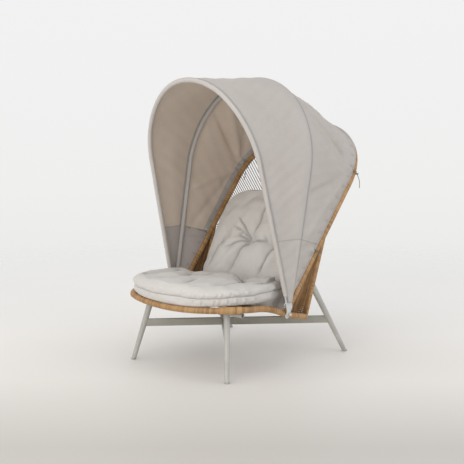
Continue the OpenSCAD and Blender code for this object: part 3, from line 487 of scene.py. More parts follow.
# Rope net
# Two layers of tight rope run from the arch to the ring's rear and the posts,
# slanting opposite ways. More rope fills each side and lies across the seat.
rope_r, rope_sides, rope_steps, strand_turn = 0.0023, 8, 3, 0.006
rope_weave, tree = new_material("twisted_resin_rope_tan")
part = add(tree, "SeparateXYZ", {"Vector": add(tree, "TexCoord").outputs["UV"]}).outputs
lay = add(tree, "Math", {0: part["X"], 1: part["Y"]}, operation="ADD")
ply = add(tree, "Math", {0: lay, 1: 2 * math.pi / strand_turn}, operation="MULTIPLY")
ply = add(tree, "MapRange", {"Value": add(tree, "Math", {0: ply}, operation="SINE"), "From Min": -1.0})
luck = add(tree, "Attribute", attribute_name="strand").outputs["Fac"]
where = add(tree, "TexCoord").outputs["Object"]
cloud = add(tree, "TexNoise", {"Vector": where, "Scale": 30.0, "Detail": 2.0})
cloud = add(tree, "Math", {0: cloud, 1: 0.5}, operation="MULTIPLY")
tone = add(tree, "Math", {0: luck, 1: 0.5, 2: cloud}, operation="MULTIPLY_ADD")
# Painted shade: the tone follows the twist, darker in its grooves where the bump dips.
tone = add(tree, "Math", {0: ply, 1: 0.12, 2: tone}, operation="MULTIPLY_ADD")
paint = add(tree, "ValToRGB", {"Fac": tone}, [(0.2, "#553A1C"), (0.5, "#775630"), (0.8, "#96724A")])
bump = add(tree, "Bump", {"Height": ply, "Distance": 0.0004, "Strength": 0.7})
bsdf = add(tree, "BsdfPrincipled", {"Base Color": paint, "Normal": bump, "Roughness": 0.58,
                                    "Specular IOR Level": 0.35})
add(tree, "OutputMaterial", {"Surface": bsdf})


def tied_end(p, tube_way, rope_way, tube_r):
    """Where a rope that aims at a tube's middle meets its skin: p + way * (r + rope r * cos) / sin."""
    slant = np.abs((tube_way * rope_way).sum(-1, keepdims=True))
    return p + rope_way * (tube_r + rope_r * slant) / np.sqrt(np.maximum(1 - slant**2, 0.02))


def strands(name, p, q, seed):
    """Tight ropes from p[i] to q[i] in one mesh, p + (q - p) * t + r * (cos a * across +
    sin a * third), each a tube of a few faces with flat ends and one tone of its own."""
    n, whole, way = len(p), np.linalg.norm(q - p, axis=1), unit(q - p)
    across = unit(np.cross(way, np.array([0.13, 0.31, 0.94])))
    third = np.cross(way, across)
    t, a = np.linspace(0, 1, rope_steps + 1), np.linspace(0, 2 * math.pi, rope_sides, endpoint=False)
    skin = rope_r * (np.cos(a)[None, :, None] * across[:, None] + np.sin(a)[None, :, None] * third[:, None])
    points = p[:, None, None] + (q - p)[:, None, None] * t[None, :, None, None] + skin[:, None]
    counts = [np.arange(k) for k in (n, rope_steps, rope_sides)]
    rope, i, j = (k.ravel() for k in np.meshgrid(*counts, indexing="ij"))
    corner = [(i, j), (i, j + 1), (i + 1, j + 1), (i + 1, j)]
    first = rope * (rope_steps + 1) * rope_sides
    quads = np.stack([first + b * rope_sides + c % rope_sides for b, c in corner], 1).ravel()
    facet = 2 * math.pi * rope_r / rope_sides
    uv = np.stack([np.stack([whole[rope] * t[b], c * facet], 1) for b, c in corner], 1).reshape(-1, 2)
    rims = np.arange(n)[:, None] * (rope_steps + 1) * rope_sides + np.arange(rope_sides)
    caps = np.vstack([rims[:, ::-1], rims + rope_steps * rope_sides])
    starts = np.r_[np.arange(len(rope)) * 4, quads.size + np.arange(len(caps)) * rope_sides]
    made = piece_of(name, points.reshape(-1, 3), np.r_[quads, caps.ravel()], starts,
                    np.vstack([uv, np.zeros((caps.size, 2))]), [rope_weave],
                    smooth=np.arange(len(starts)) < len(rope))
    tones = np.random.default_rng(seed).random(n).repeat((rope_steps + 1) * rope_sides)
    made.data.attributes.new("strand", "FLOAT", "POINT").data.foreach_set("value", tones.astype(np.float32))
    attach(made, "chair")
    return made


arch_net = arch_line(post_join, 0.004)
corner_arc = bent_line([post_top, post_foot, np.array([0, rear_y, rear_z])], [0, 0.004, 0], 0.004)
lower_net = np.vstack([corner_arc, mirrored(corner_arc[::-1])[1:]])
crossing_ropes, upright_ropes = 46, 15
arch_run, lower_run = run_of(arch_net)[-1], run_of(lower_net)[-1]
post_run = float(np.linalg.norm(post_top - post_foot))
nets = (("back_net_front", "back_ropes_front", 1, 5), ("back_net_rear", "back_ropes_rear", -1, 6))
for name, node, sign, seed in nets:
    high = np.r_[np.linspace(0.60, 0.97, crossing_ropes), np.linspace(0.41, 0.59, upright_ropes)]
    low = np.r_[np.linspace(0.012, 0.36, crossing_ropes), np.linspace(0.38, 0.56, upright_ropes)]
    high, low = (high if sign > 0 else 1 - high) * arch_run, (low if sign > 0 else 1 - low) * lower_run
    p, q = point_on(arch_net, high), point_on(lower_net, low)
    p_way = unit(point_on(arch_net, high + 0.002) - point_on(arch_net, high - 0.002))
    q_way = unit(point_on(lower_net, low + 0.002) - point_on(lower_net, low - 0.002))
    face = unit(np.cross(p_way, q - p))
    off = sign * (rope_r + 0.0001)
    p, q = p + off * face, q + off * face
    way = unit(q - p)
    low_r = np.where(np.minimum(low, lower_run - low) < post_run, post_r, wrap_r)[:, None]
    p, q = tied_end(p, p_way, way, wrap_r), tied_end(q, q_way, -way, low_r)
    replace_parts(strands(name, p, q, seed), node)

side_pairs, side_first, side_last, fan_first, fan_last = 11, 0.2, 0.92, 0.78, 0.965
pair_gap = np.tile([-1, 1], side_pairs)[:, None] * (rope_r + 0.0002)
for sign, node in ((1, "side_ropes_right"), (-1, "side_ropes_left")):
    low_share = np.linspace(side_first, side_last, side_pairs).repeat(2)[:, None]
    high_share = np.linspace(fan_first, fan_last, side_pairs).repeat(2)[:, None]
    p, q = hinge + (ring_rear - hinge) * low_share, hinge + (post_top - hinge) * high_share
    aside = unit(np.cross(q - p, np.cross(ring_rear - hinge, post_top - hinge))) * pair_gap
    p, q = p + aside, q + aside
    way = unit(q - p)
    p = tied_end(p, unit(ring_rear - hinge), way, wrap_r)
    q = tied_end(q, unit(post_top - hinge), -way, wrap_r)
    flip = np.array([sign, 1, 1])
    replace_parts(strands(f"side_net_{'right' if sign > 0 else 'left'}", p * flip, q * flip, 7 + sign), node)

seat_strands, seat_first, seat_last = 44, 0.36, 0.66
ring_ahead = np.vstack([base_line[: len(base_line) // 2][::-1], rim_line[: len(rim_line) // 2]])
seat_at = run_of(ring_ahead)[-1] * np.linspace(seat_first, seat_last, seat_strands)
p = point_on(ring_ahead, seat_at)
p_way = unit(point_on(ring_ahead, seat_at + 0.002) - p)
right_end = tied_end(p, p_way, np.tile([-1.0, 0, 0], (seat_strands, 1)), wrap_r)
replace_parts(strands("seat_ropes_laid", right_end, mirrored(right_end), 11), "seat_ropes")


# Canopy hoops and their sleeves
# Two bent steel hoops swing on the hinges. Each is threaded through a
# sleeve of canopy cloth that ends a little above its flattened, bolted end.
def woven_cloth(name, light, mid, thread_mm, streak=0.5, rough=0.9, sheen=0.15, through=0.0,
                painted_shade_strength=0.3):
    """Woven outdoor polyester: crossed threads drawn coarse enough to show, slubs both ways,
    a soft cloudy fading, painted shade along seams and in creases, and some daylight through it. Its UV is in
    metres."""
    made, tree = new_material(name)
    uv = add(tree, "TexCoord").outputs["UV"]
    part = add(tree, "SeparateXYZ", {"Vector": uv}).outputs
    waves, slubs = [], []
    for axis, stretch in (("X", (26.0, 700.0, 1.0)), ("Y", (700.0, 26.0, 1.0))):
        wave = add(tree, "Math", {0: part[axis], 1: 2 * math.pi * 1000 / thread_mm}, operation="MULTIPLY")
        waves.append(add(tree, "Math", {0: wave}, operation="SINE"))
        drawn = add(tree, "VectorMath", {0: uv, 1: stretch}, operation="MULTIPLY")
        slubs.append(add(tree, "TexNoise", {"Vector": drawn, "Scale": 1.0, "Detail": 2.0}))
    weave = add(tree, "Math", {0: waves[0], 1: waves[1]}, operation="MULTIPLY")
    weave = add(tree, "MapRange", {"Value": weave, "From Min": -1.0})
    where = add(tree, "TexCoord").outputs["Object"]
    cloud = add(tree, "TexNoise", {"Vector": where, "Scale": 3.5, "Detail": 3.0})
    cloud = add(tree, "Math", {0: cloud, 1: 0.7}, operation="MULTIPLY")
    thread = add(tree, "Math", {0: slubs[0], 1: slubs[1]}, operation="ADD")
    tone = add(tree, "Math", {0: thread, 1: streak, 2: cloud}, operation="MULTIPLY_ADD")
    height = add(tree, "Math", {0: thread, 1: 0.6, 2: weave}, operation="MULTIPLY_ADD")
    paint = add(tree, "ValToRGB", {"Fac": tone}, [(0.45, mid), (1.0, light)])
    # Painted shade: the seam attribute darkens the cloth along seams, in creases, round tufts and in the
    # hem's gathers.
    seam = add(tree, "Attribute", attribute_name="seam").outputs["Fac"]
    kept = add(tree, "Math", {0: seam, 1: -painted_shade_strength, 2: 1.0}, operation="MULTIPLY_ADD")
    paint = add(tree, "VectorMath", {0: paint, "Scale": kept}, operation="SCALE")
    bump = add(tree, "Bump", {"Height": height, "Distance": 0.00018, "Strength": 0.5})
    bsdf = add(tree, "BsdfPrincipled", {"Base Color": paint, "Normal": bump, "Roughness": rough,
                                        "Specular IOR Level": 0.2, "Sheen Weight": sheen,
                                        "Sheen Roughness": 0.5})
    lit = add(tree, "BsdfTranslucent", {"Color": paint})
    add(tree, "OutputMaterial", {"Surface": add(tree, "MixShader", {0: through, 1: bsdf, 2: lit})})
    return made


cloth_out = woven_cloth("woven_polyester_canopy_outside", "#D3CFCA", "#C7C1BC", 1.6, through=0.40)
# The inner face of the canopy cloth is set a warmer, lighter tan than its outer face.
cloth_in = woven_cloth("woven_polyester_canopy_inner_face", "#E0D4C7", "#D2C5B6", 1.6, through=0.40)
patch_out = woven_cloth("woven_polyester_side_patch", "#CBC6BF", "#BDB7B1", 1.6, through=0.28)
patch_in = woven_cloth("woven_polyester_side_patch_lining", "#C4BDB9", "#B6AFAB", 1.6, through=0.28)
band_in = woven_cloth("woven_polyester_sleeve_grey", "#BFBCB8", "#B1ADA8", 1.6, through=0.15)
# Painted shade: the front sleeve is the canopy cloth set darker, for the shade on its inner side.
front_sleeve_painted_shade = woven_cloth("woven_polyester_front_sleeve_painted_shade", "#B9B4AF", "#ABA6A0", 1.6)

pivot = hinge * [0, 1, 1] + [0, 0, 0.005]
# Tab is the half width at the bolted ends, half the widest, side the straight side's length.
hoops = {
    "front": dict(tab=0.4161, half=0.373, side=0.795, rise=0.437, lean=math.radians(-14.5)),
    "rear": dict(tab=0.4118, half=0.425, side=0.745, rise=0.483, lean=math.radians(11.2)),
}


def hoop_line(tab, half, side, rise, lean, start, step):
    """A hoop's centre line in its leaning plane: sides that spread, two shoulders of 45 degrees
    and a crown that meets them, from one side's start to the other's."""
    tan_a, cos_a = 1.0, math.sqrt(0.5)
    shoulder = (rise + half * (tan_a - 1 / cos_a)) / (tan_a + 1 - 1 / cos_a)
    crown = shoulder - (shoulder - half) / cos_a
    top = side + shoulder * math.tan(math.pi / 8)
    peak = side + shoulder * cos_a + half - shoulder + shoulder * cos_a
    across = tab + (half - tab) * start / top
    right = [leaning(across, start, lean, pivot), leaning(half, top, lean, pivot)]
    peak_point = leaning(0.0, peak, lean, pivot)
    shoulder_run = float(np.linalg.norm(peak_point - right[1]))
    way = unit(peak_point - right[1])
    crown_cut = crown * math.tan(math.acos(np.clip(way @ unit(mirrored(right[1]) - peak_point), -1, 1)) / 2)
    cuts = [0, shoulder_run - crown_cut, crown_cut * 0.9999, shoulder_run - crown_cut, 0]
    return bent_line(right + [peak_point] + [mirrored(p) for p in right[::-1]], cuts, step)


for hoop in ("rear_hoop", "front_hoop"):
    dress(hoop, fitting_coat)

sleeve_r, sleeve_from, panel_from, sleeve_step = 0.0118, 0.105, 0.065, 0.008


def puckered(radius, depth, wave):
    """A cloth tube's radius: radius + depth * sin of two waves that wander along and round it."""

    def at(s, a):
        along = 2 * math.pi * s / wave + 2 * np.sin(3.1 * s / wave + a)
        return radius + depth * np.sin(along) * np.sin(a + s / wave)

    return at


for name, side_finish in (("front", front_sleeve_painted_shade), ("rear", band_in)):
    line = hoop_line(start=sleeve_from, step=sleeve_step, **hoops[name])
    lean = hoops[name]["lean"]
    sleeve = tube(f"{name}_hoop_sleeve_cloth", line, (0, -math.cos(lean), math.sin(lean)),
                  puckered(sleeve_r, 0.0004, 0.05), 18, [side_finish])
    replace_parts(sleeve, f"{name}_hoop_sleeve")
    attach(sleeve, f"{name}_canopy")


# Canopy panels
# Two shaped panels of one woven cloth are stretched from the arch to the rear
# hoop and on to the front hoop. Each side ends below in a doubled patch.
crown_centre = pivot[2] + 0.745
band_width, seam_width, patch_top, cloth_t = 0.025, 0.004, 0.405, 0.0016
crown_shares = (0.24, 0.40)
span_cells, long_step, side_sag, crown_sag, gather_step = 30, 0.008, 0.03, 0.010, 0.075


def outward(p):
    """Away from the canopy's axis: across on the sides, round and up over the crown."""
    return unit(p * [1, 0, 0] + [0, 0, 1] * np.maximum(p - crown_centre, 0))


def between(value, low, high):
    """0 below low, 1 above high, and smooth between them."""
    t = np.clip((value - low) / (high - low), 0, 1)
    return t * t * (3 - 2 * t)


def mark(made, values):
    """Writes the painted shade of each point: how much a seam, a crease, a tuft or a gather darkens it."""
    values = np.r_[np.ravel(values), np.zeros(len(made.data.vertices) - np.size(values))]
    made.data.attributes.new("seam", "FLOAT", "POINT").data.foreach_set("value", values.astype(np.float32))


def canopy_panel(name, line_a, line_b, r_a, r_b, lay_a, lay_b, wide_a, drops, folds, ties):
    """A sheet from line a to line b: the points of both at equal shares, each moved r out to the
    side it lies on, joined by straight rows that sag by 4 * sag * g * (1 - g), with long soft
    folds, a hem drawn in between its ties, and columns set close where bands and seams lie."""
    run_a, run_b = run_of(line_a)[-1], run_of(line_b)[-1]
    whole = (run_a + run_b) / 2
    rows = int(whole / long_step)
    share = np.linspace(0, 1, rows + 1)
    patch_share = (patch_top - panel_from) / whole
    marks = [patch_share, 1 - patch_share]
    share = np.sort(np.r_[share, [m + k * seam_width / whole for m in marks for k in (-1, 0, 1)]])
    near_patch = sum(s * np.exp(-(((share - m) / 0.06) ** 2)) for s, m in zip((-1, 1), marks)) / whole
    a = point_on(line_a, (share + near_patch * drops[0]) * run_a)
    b = point_on(line_b, (share + near_patch * drops[1]) * run_b)
    e_a, e_b = outward(a), outward(b)
    t_a = unit((b - a) - e_a * ((b - a) * e_a).sum(-1, keepdims=True))
    t_b = unit((a - b) - e_b * ((a - b) * e_b).sum(-1, keepdims=True))
    at_crown = between(np.minimum(share, 1 - share), *crown_shares)
    turn_a = (lay_a[0] + (lay_a[1] - lay_a[0]) * at_crown)[:, None]
    a = a + r_a * (np.sin(turn_a) * e_a + np.cos(turn_a) * t_a)
    b = b + r_b * (math.sin(lay_b) * e_b + math.cos(lay_b) * t_b)
    span = np.linalg.norm(b - a, axis=1)
    band_a, band = np.minimum(wide_a / span, 0.3)[:, None], np.minimum(band_width / span, 0.3)[:, None]
    seam = np.minimum(seam_width / span, 0.08)[:, None]
    inner = band_a + (1 - band_a - band) * np.linspace(0, 1, span_cells + 1)[None, :]
    first, last = [0 * band, seam, band_a / 3, band_a * 2 / 3], [1 - band + seam, 1 - seam, 1 + 0 * band]
    g = np.hstack([*first, inner, *last])
    grid = a[:, None] + (b - a)[:, None] * g[..., None]
    out = outward(grid)
    x, y = share[:, None] * whole, g * span[:, None]
    sag = side_sag + (crown_sag - side_sag) * between(np.minimum(share, 1 - share), 0.3, 0.45)
    shift = -(span * sag)[:, None] * 4 * g * (1 - g)
    for (f0, g0), (f1, g1), width, depth in folds:
        start = np.array([f0 * whole, g0 * np.interp(f0, share, span)])
        end = np.array([f1 * whole, g1 * np.interp(f1, share, span)])
        way = end - start
        t = ((x - start[0]) * way[0] + (y - start[1]) * way[1]) / (way @ way)
        off = np.abs((x - start[0]) * way[1] - (y - start[1]) * way[0]) / np.linalg.norm(way)
        ends = between(t, -0.12, 0.15) * (1 - between(t, 0.8, 1.15))
        shift = shift + depth * np.exp(-((off / width) ** 2)) * ends * np.minimum(1, 12 * g * (1 - g))
    slack = 0.0016 * np.sin(x * 38 + 3 * np.sin(y * 9)) * np.sin(y * 21 + 2.3)
    slack = slack + 0.001 * np.sin(x * 83 + y * 47)
    shift = shift + slack * np.minimum(1, 8 * g * (1 - g))
    grid = grid + out * shift[..., None]
    gathers = np.exp(-(((x % gather_step) / gather_step - 0.5) / 0.1) ** 2)
    if ties:
        grid = grid - out * (0.004 * gathers * np.exp(-(((y - 0.02) / 0.016) ** 2)))[..., None]
    for place in ties:
        gap = x - place * whole
        pull = np.exp(-((gap / 0.05) ** 2)) * np.exp(-y / 0.06) * 0.005
        grid = grid + out * (pull * np.cos(gap * 150))[..., None]
    low = np.minimum(share, 1 - share) < patch_share - 1e-6
    low_row = low[:-1] | low[1:]
    columns = g.shape[1] - 1
    kind = np.zeros((len(share) - 1, columns), np.int32)
    kind[:, : len(first)], kind[:, -len(last) :] = 2, 2
    kind[low_row] = 1
    made = surface(name, grid, share * whole, np.linspace(0, span.max(), columns + 1), finish_of=kind,
                   finishes=[cloth_out, patch_out, cloth_out, cloth_in, patch_in, band_in], turned=True)
    # Painted shade: a dark line along the seams, and darkening in the hem's gathers between the ties.
    line = np.zeros(g.shape)
    line[:, -2] = 1.0
    for m in marks:
        line[np.argmin(np.abs(share - m))] = 1.0
    if ties:
        line += 0.8 * gathers * np.exp(-(((y - 0.018) / 0.010) ** 2))
    mark(made, line)
    thick = made.modifiers.new("cloth", "SOLIDIFY")
    thick.thickness, thick.offset, thick.material_offset, thick.use_even_offset = cloth_t, 0, 3, True
    return made, grid


def follow(made):
    """Bakes the sheet's placing into its points."""
    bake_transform(made)


hem_start, line_step = 0.1, 0.006
arch_hem_line = arch_line(hem_start, line_step)
rear_line = hoop_line(start=panel_from, step=line_step, **hoops["rear"])
front_line = hoop_line(start=panel_from, step=line_step, **hoops["front"])
hem_run = run_of(arch_hem_line)[-1]
near_ties = [(post_join * 0.8 - hem_start) / hem_run, (post_join - hem_start + 0.22 * arch_run) / hem_run]
tie_shares = near_ties + [0.5] + [1 - share for share in near_ties[::-1]]

# Each fold: where it starts and ends as shares along and across, its width and its depth.
rear_folds = [((0.30, 0.04), (0.42, 0.95), 0.024, -0.018), ((0.30, 0.05), (0.47, 0.75), 0.020, 0.013),
              ((0.30, 0.06), (0.375, 0.98), 0.020, 0.013), ((0.28, 0.1), (0.2, 0.9), 0.026, -0.010),
              ((0.27, 0.1), (0.12, 0.7), 0.03, 0.008)]
rear_folds = rear_folds + [((1 - a, b), (1 - c, d), w, h) for (a, b), (c, d), w, h in rear_folds]
front_folds = [((0.06, 0.0), (0.3, 0.5), 0.05, -0.004), ((0.94, 0.0), (0.7, 0.5), 0.05, -0.004)]
skin_r, lap = sleeve_r + cloth_t / 2, 0.0045
on_hoop, on_edge, on_arch = math.radians(89), math.radians(100), np.radians((6, 42))
rear_panel, rear_grid = canopy_panel("canopy_rear_cloth", arch_hem_line, rear_line, wrap_r + lap, skin_r,
                                     on_arch, on_hoop, 0.042, (0, 0.016), rear_folds, tie_shares)
front_panel, front_grid = canopy_panel("canopy_front_cloth", rear_line, front_line, skin_r, skin_r,
                                       (on_hoop, on_hoop), on_edge, band_width, (0.016, 0), front_folds, [])
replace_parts(rear_panel, "canopy_rear_panel")
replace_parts(front_panel, "canopy_front_panel")
follow(rear_panel)
follow(front_panel)


# Seat cushion
# A deep fibre-filled pad in woven cover cloth. A gathered border strip is sewn to a crowned
# top, and three tufts are drawn down through the fill.
cover = woven_cloth("woven_olefin_cushion_cover", "#C3C0BB", "#B7B3AE", 1.8, rough=0.92, sheen=0.2,
                    painted_shade_strength=0.42)
around = 360


def grow(x, y, spots, width):
    """How near a point is to the nearest spot: exp(-(distance / width) ** 2), largest of all."""
    return np.max([np.exp(-(((x - p) ** 2 + (y - q) ** 2) / width**2)) for p, q in spots], axis=0)


def creases(x, y, lines, width):
    """Sharp valleys along bent lines, with the soft hollow beside them: depth times
    0.5 * exp(-d / width) + 0.5 * exp(-(d / (4 * width)) ** 2), fading at both ends.
    Returns the depth, and how near to 1 each point is to the bottom of a valley."""
    total, nearest = np.zeros_like(x), np.zeros_like(x)
    for points, depth in lines:
        path = evenly(np.pad(np.asarray(points, float), ((0, 0), (0, 1))), 0.006)[:, :2]
        for _ in range(12):
            path[1:-1] = (path[:-2] + 2 * path[1:-1] + path[2:]) / 4
        d = np.hypot(x[..., None] - path[:, 0], y[..., None] - path[:, 1])
        t = d.argmin(-1) / (len(path) - 1)
        d = d.min(-1)
        fade = between(t, -0.05, 0.08) * (1 - between(t, 0.7, 1.03))
        valley = 0.5 * np.exp(-d / width) + 0.5 * np.exp(-((d / (4 * width)) ** 2))
        total = np.maximum(total, depth * fade * valley)
        nearest = np.maximum(nearest, fade * np.exp(-((d / (0.9 * width)) ** 2)))
    return total, nearest


def ring_height(x, y):
    """Height of the ring's centre line nearest to a point in plan."""
    d = np.hypot(np.abs(x)[..., None] - ring_ahead[::6, 0], y[..., None] - ring_ahead[::6, 1])
    return ring_ahead[::6][d.argmin(-1), 2]


def fill_noise(x, y, z, seed):
    """Soft lumps of the fill: a few slow sine waves with seeded directions and phases."""
    rng = np.random.default_rng(seed)
    total = np.zeros_like(x)
    lumps = ((0.31, 0.0035), (0.22, 0.003), (0.15, 0.0024), (0.11, 0.0018), (0.08, 0.0012), (0.055, 0.0008))
    for wave, depth in lumps:
        for _ in range(3):
            way = unit(rng.normal(size=3)) * 2 * math.pi / wave
            total = total + depth * np.sin(x * way[0] + y * way[1] + z * way[2] + rng.uniform(0, 6.3))
    return total


def squared(angle, power):
    """cos and sin of an angle, each kept its sign and raised to a power: a squared-off round."""
    c, s = np.cos(angle), np.sin(angle)
    return np.sign(c) * np.abs(c) ** power, np.sign(s) * np.abs(s) ** power


crease_width, pucker_painted_shade_width, pucker_painted_shade = 0.0075, 0.012, 0.6
seat_half, seat_level, tuft_deep, tuft_width = 0.368, 0.478, 0.046, 0.05
half_wide, half_deep = 0.37, 0.33
seat_front_y, seat_rear_y = float(rim_line[:, 1].min()) - wrap_r + 0.0006, 0.556 - middle_y
seat_mid = (seat_front_y + seat_rear_y) / 2
a = np.linspace(0, 2 * math.pi, around, endpoint=False)
cx, sy = squared(a, np.where(np.sin(a) < 0, 0.62, 0.42))
edge_x = seat_half * cx * (1 - 0.1 * np.maximum(np.sin(a), 0))
edge_y = seat_mid + (seat_rear_y - seat_front_y) / 2 * sy
edge_ring, front_ring = ring_height(edge_x, edge_y), rim_line[len(rim_line) // 2, 2]
lifted = between(0.225 * (1 + np.cos(a)) - np.sin(a), -0.4, 0.1)
edge_z = edge_ring + (np.maximum(edge_ring, front_ring) - edge_ring) * lifted + wrap_r

# How far out and how high the side goes, from the middle below to the middle on top:
# flat below, the border strip, its seam, a roll over the seam and the crown.
seat_profile = np.array([(0.5, 0.0), (0.85, 0.0), (0.945, 0.001), (0.972, 0.009), (0.984, 0.024),
                         (0.984, 0.042), (0.978, 0.050), (0.966, 0.053), (0.980, 0.056), (0.993, 0.065),
                         (0.996, 0.077), (0.986, 0.089), (0.962, 0.099), (0.925, 0.107), (0.88, 0.112)])
seam_height, side_step = 0.053, 0.0016
side = evenly(np.pad(seat_profile * [half_wide, 1.0], ((0, 0), (0, 1))), side_step)
side[1:-1] = (side[:-2] + 2 * side[1:-1] + side[2:]) / 4
side_share, side_height = side[1:, 0] / half_wide, side[1:, 1]
top_share = np.linspace(side_share[-1], 0.01, 70)[1:]
share = np.r_[side_share, top_share][:, None]
under = side_share.size
height = np.r_[side_height, np.full(top_share.size, side_height[-1])][:, None]
out_x, out_y = edge_x * share, seat_mid + (edge_y - seat_mid) * share
side_z = ring_height(np.full_like(edge_y, seat_half), edge_y) + wrap_r
low_z = np.where(np.sin(a) < 0, side_z + (edge_z - side_z) * np.minimum(share, 1) ** 2, side_z)
tall = np.minimum(1, (seat_level - 0.006 - edge_z) / side_height[-1])
top_edge = edge_z + side_height[-1] * tall
crown = seat_level + (top_edge - seat_level) * (share / side_share[-1]) ** 3
z = crown
z[:under] = (low_z + (edge_z - low_z) * between(share, 0.86, 0.97) + height * tall)[:under]
seat_tufts = [(-0.21, -0.263), (0.21, -0.263), (0.0, -0.163)]
seat_lines = [
    ([(-0.21, -0.263), (-0.235, -0.35), (-0.27, -0.46), (-0.26, -0.58)], 0.034),
    ([(-0.21, -0.263), (-0.12, -0.33), (-0.09, -0.42), (-0.15, -0.58)], 0.030),
    ([(-0.21, -0.263), (-0.30, -0.25), (-0.36, -0.28)], 0.026),
    ([(0.0, -0.163), (-0.1, -0.19), (-0.21, -0.263)], 0.032),
    ([(0.0, -0.163), (0.1, -0.19), (0.21, -0.263)], 0.032),
    ([(0.21, -0.263), (0.10, -0.35), (0.02, -0.44), (0.05, -0.59)], 0.030),
    ([(0.21, -0.263), (0.25, -0.36), (0.22, -0.55)], 0.026),
    ([(0.21, -0.263), (0.29, -0.25), (0.36, -0.27)], 0.018),
    ([(0.0, -0.163), (-0.02, -0.28), (-0.08, -0.40)], 0.012),
]
top = slice(under, None)
fold, line = creases(out_x[top], out_y[top], seat_lines, crease_width)
z[top] -= fold + tuft_deep * grow(out_x[top], out_y[top], seat_tufts, tuft_width)

# The border strip is gathered in small pleats and the roll over its seam answers them.
gather = 0.0034 * np.sin(a * 41 + 2 * np.sin(a * 7)) + 0.0024 * np.sin(a * 73 + 1.4 * np.sin(a * 5))
sway = 0.0010 * np.sin(a * 13 + 1.0) + 0.0006 * np.sin(a * 29)
strip = np.exp(-((height - 0.027) / 0.018) ** 2) * (share > 0.9)
roll = np.exp(-((height - 0.071) / 0.014) ** 2) * (share > 0.9)
push = strip * gather + roll * np.roll(gather, 3)
out_x = out_x * (1 + push / half_wide)
out_y = seat_mid + (out_y - seat_mid) * (1 + push / half_deep)
z = z + 0.55 * fill_noise(out_x, out_y, z, 21) * between(height, 0.03, 0.09)
z = z + sway * between(height, 0.01, 0.04) * (share > 0.9)
seat_grid = np.stack([out_x, out_y, z], -1)
seat_pad = surface("seat_cushion_cover", seat_grid, run_of(seat_grid[:, 0]), np.linspace(0, 2.2, around + 1),
                   around=True, ends=True, finishes=[cover])
# Painted shade: a dark line along the border seam, and darkening along the creases and round the tufts of the
# top.
dark = np.exp(-((height - seam_height) / 0.0015) ** 2) * (share > 0.9) + 0 * a
dark[top] = np.maximum(line, pucker_painted_shade * grow(out_x[top], out_y[top], seat_tufts, pucker_painted_shade_width))
mark(seat_pad, dark)
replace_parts(seat_pad, "seat_cushion")


# Back cushion
# The same pad stands against the ropes, leaning back on the seat's. A seam runs round its
# edge, and three tufts pull deep puckers into the front.
back_half, back_len, back_t, back_edge, back_lean = 0.330, 0.566, 0.185, 0.088, math.radians(27)
back_tuft_deep, back_tuft_width, round_from = 0.036, 0.045, 0.93
back_foot = np.array([0, 0.528 - middle_y, 0.379])
cx, sy = squared(a, np.where(np.sin(a) < 0, 0.30, 0.46))
up = (1 + sy) / 2
ox, oy = back_half * cx * (0.97 - 0.12 * up), back_len * (0.975 * up - 0.06 * (1 - up))
rounded = round_from + (1 - round_from) * np.sin(np.linspace(0, math.pi / 2, 20))[1:]
part = np.r_[np.linspace(0.008, round_from, 74), rounded]
half_t = (back_t + (back_edge - back_t) * part**2.6) / 2
past = np.maximum(part - round_from, 0) / (1 - round_from)
half_t *= np.sqrt(np.maximum(1 - past**2, 0))
share = np.r_[part, part[-2::-1]]
depth = np.r_[-half_t, half_t[-2::-1]][:, None] + 0 * a
bx, by = ox * share[:, None], back_len / 2 + (oy - back_len / 2) * share[:, None]
back_tufts = [(0, back_len * 0.42), (-back_half * 0.62, back_len * 0.44), (back_half * 0.62, back_len * 0.44)]
mid_tuft, left_tuft, right_tuft = back_tufts
back_lines = [
    ([(0.0, 0.55), (0.045, 0.47), (0.03, 0.34), mid_tuft], 0.026),
    ([mid_tuft, (-0.035, 0.20), (-0.06, 0.12), (-0.10, 0.02)], 0.026),
    ([mid_tuft, (0.1, 0.235), right_tuft], 0.028),
    ([mid_tuft, (-0.1, 0.26), left_tuft], 0.016),
    ([left_tuft, (-0.23, 0.15), (-0.24, 0.04)], 0.018),
    ([right_tuft, (0.16, 0.17), (0.13, 0.03)], 0.024),
    ([right_tuft, (0.25, 0.36), (0.24, 0.5)], 0.018),
    ([mid_tuft, (-0.06, 0.31), (-0.13, 0.37)], 0.014),
    ([mid_tuft, (-0.06, 0.28), (-0.15, 0.31)], 0.013),
    ([mid_tuft, (-0.08, 0.22), (-0.15, 0.17)], 0.012),
]
front = slice(share.size // 2, None)
fold, line = creases(bx[front], by[front], back_lines, crease_width)
reach = np.minimum(1, depth[front] / 0.04)
pulled = back_tuft_deep * grow(bx[front], by[front], back_tufts, back_tuft_width)
depth[front] -= (fold + pulled) * reach
depth += fill_noise(bx, by, depth, 33) * between(np.abs(depth), 0.01, 0.04)
back_grid = leaning(bx, by, back_lean, back_foot, depth)
back_pad = surface("back_cushion_cover", back_grid, run_of(back_grid[:, 0]), np.linspace(0, 1.8, around + 1),
                   around=True, ends=True, finishes=[cover])
# Painted shade: a dark line along the edge seam, and darkening along the creases and round the tufts of the
# front.
dark = np.exp(-(((share[:, None] - 1) / 0.004) ** 2)) + 0 * a
puckers = pucker_painted_shade * grow(bx[front], by[front], back_tufts, pucker_painted_shade_width)
dark[front] = np.maximum(dark[front], np.maximum(line, puckers))
mark(back_pad, dark)
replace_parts(back_pad, "back_cushion")
for pad in (seat_pad, back_pad):
    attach(pad, "chair")


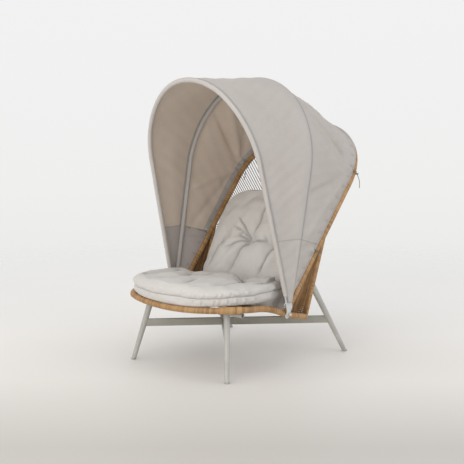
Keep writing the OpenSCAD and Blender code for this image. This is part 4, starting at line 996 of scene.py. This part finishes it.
# Hem, eyelets and ties
# The canopy's doubled rear hem lies on the arch. Steel eyelets in it take
# short lengths of cord that are knotted round the arch.
hem_line = arch_line(hem_start + 0.05, line_step)
hem_t, hem_r = 0.0024, wrap_r + 0.0014
hem_share = run_of(hem_line) / run_of(hem_line)[-1]
at_crown = between(np.minimum(hem_share, 1 - hem_share), *crown_shares)[:, None]
hem_from, hem_to = 24 + 38 * at_crown, 4 * at_crown
hem_arc = np.radians(hem_from + (hem_to - hem_from) * np.linspace(0, 1, 12))
hem_out = outward(hem_line)
along = unit(np.gradient(hem_line, axis=0))
hem_up = unit(hem_out - along * (hem_out * along).sum(-1, keepdims=True))
hem_grid = hem_line[:, None] + hem_r * (np.sin(hem_arc)[..., None] * hem_up[:, None] +
                                       np.cos(hem_arc)[..., None] * arch_ahead)
hem = surface("rear_hem_cloth", hem_grid, run_of(hem_line), hem_arc[len(hem_arc) // 2] * hem_r,
              finishes=[cloth_out], turned=True)
thick = hem.modifiers.new("doubled_cloth", "SOLIDIFY")
thick.thickness, thick.offset = hem_t, 1
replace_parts(hem, "rear_hem")
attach(hem, "chair")

dark_brass = worn_metal("blackened_brass_eyelet", "#57544E", "#7C786F", 300.0, 0.4, 0.4)
dress("hem_eyelets", dark_brass)
tie_cloth = woven_cloth("woven_polyester_tie_cord", "#8C8478", "#6F685E", 1.2)
dress("canopy_ties", tie_cloth)
cord_r, tail_r, knot_size = 0.0021, 0.00189, 0.0026


def tie_length(name, line, side, radius):
    """A length of plain round tie cord: the same radius all along and all round."""
    made = tube(name, line, side, lambda s, a: radius + 0 * s * a, 8, [tie_cloth])
    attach(made, "chair")
    return made


# Each knot is a small trefoil of cord, and the second and fourth have a loose tail below.
t = np.linspace(0, 2 * math.pi, 72)
loops = [np.sin(t) + 2 * np.sin(2 * t), np.cos(t) - 2 * np.cos(2 * t), -np.sin(3 * t)]
loops = np.stack(loops, -1) * knot_size
for number, place in enumerate(tie_shares, 1):
    at = point_on(arch_hem_line, np.array([place * hem_run]))[0]
    centre = at + unit(outward(at[None])[0] - 0.9 * arch_ahead) * (wrap_r + 0.007)
    tie_length(f"tie_knot_{number}", centre + loops, (0.3, 0.5, 0.8), cord_r)
    if number in (2, 4):
        drop = np.linspace(0, 1, 24)[:, None]
        fall = np.array([0.012 * np.sign(at[0]), 0.010, -0.078])
        down = centre + drop * fall + np.sin(drop * math.pi) * [0, 0.012, 0]
        tail = tie_length(f"tie_tail_{number}", down, (1, 0, 0), tail_r)
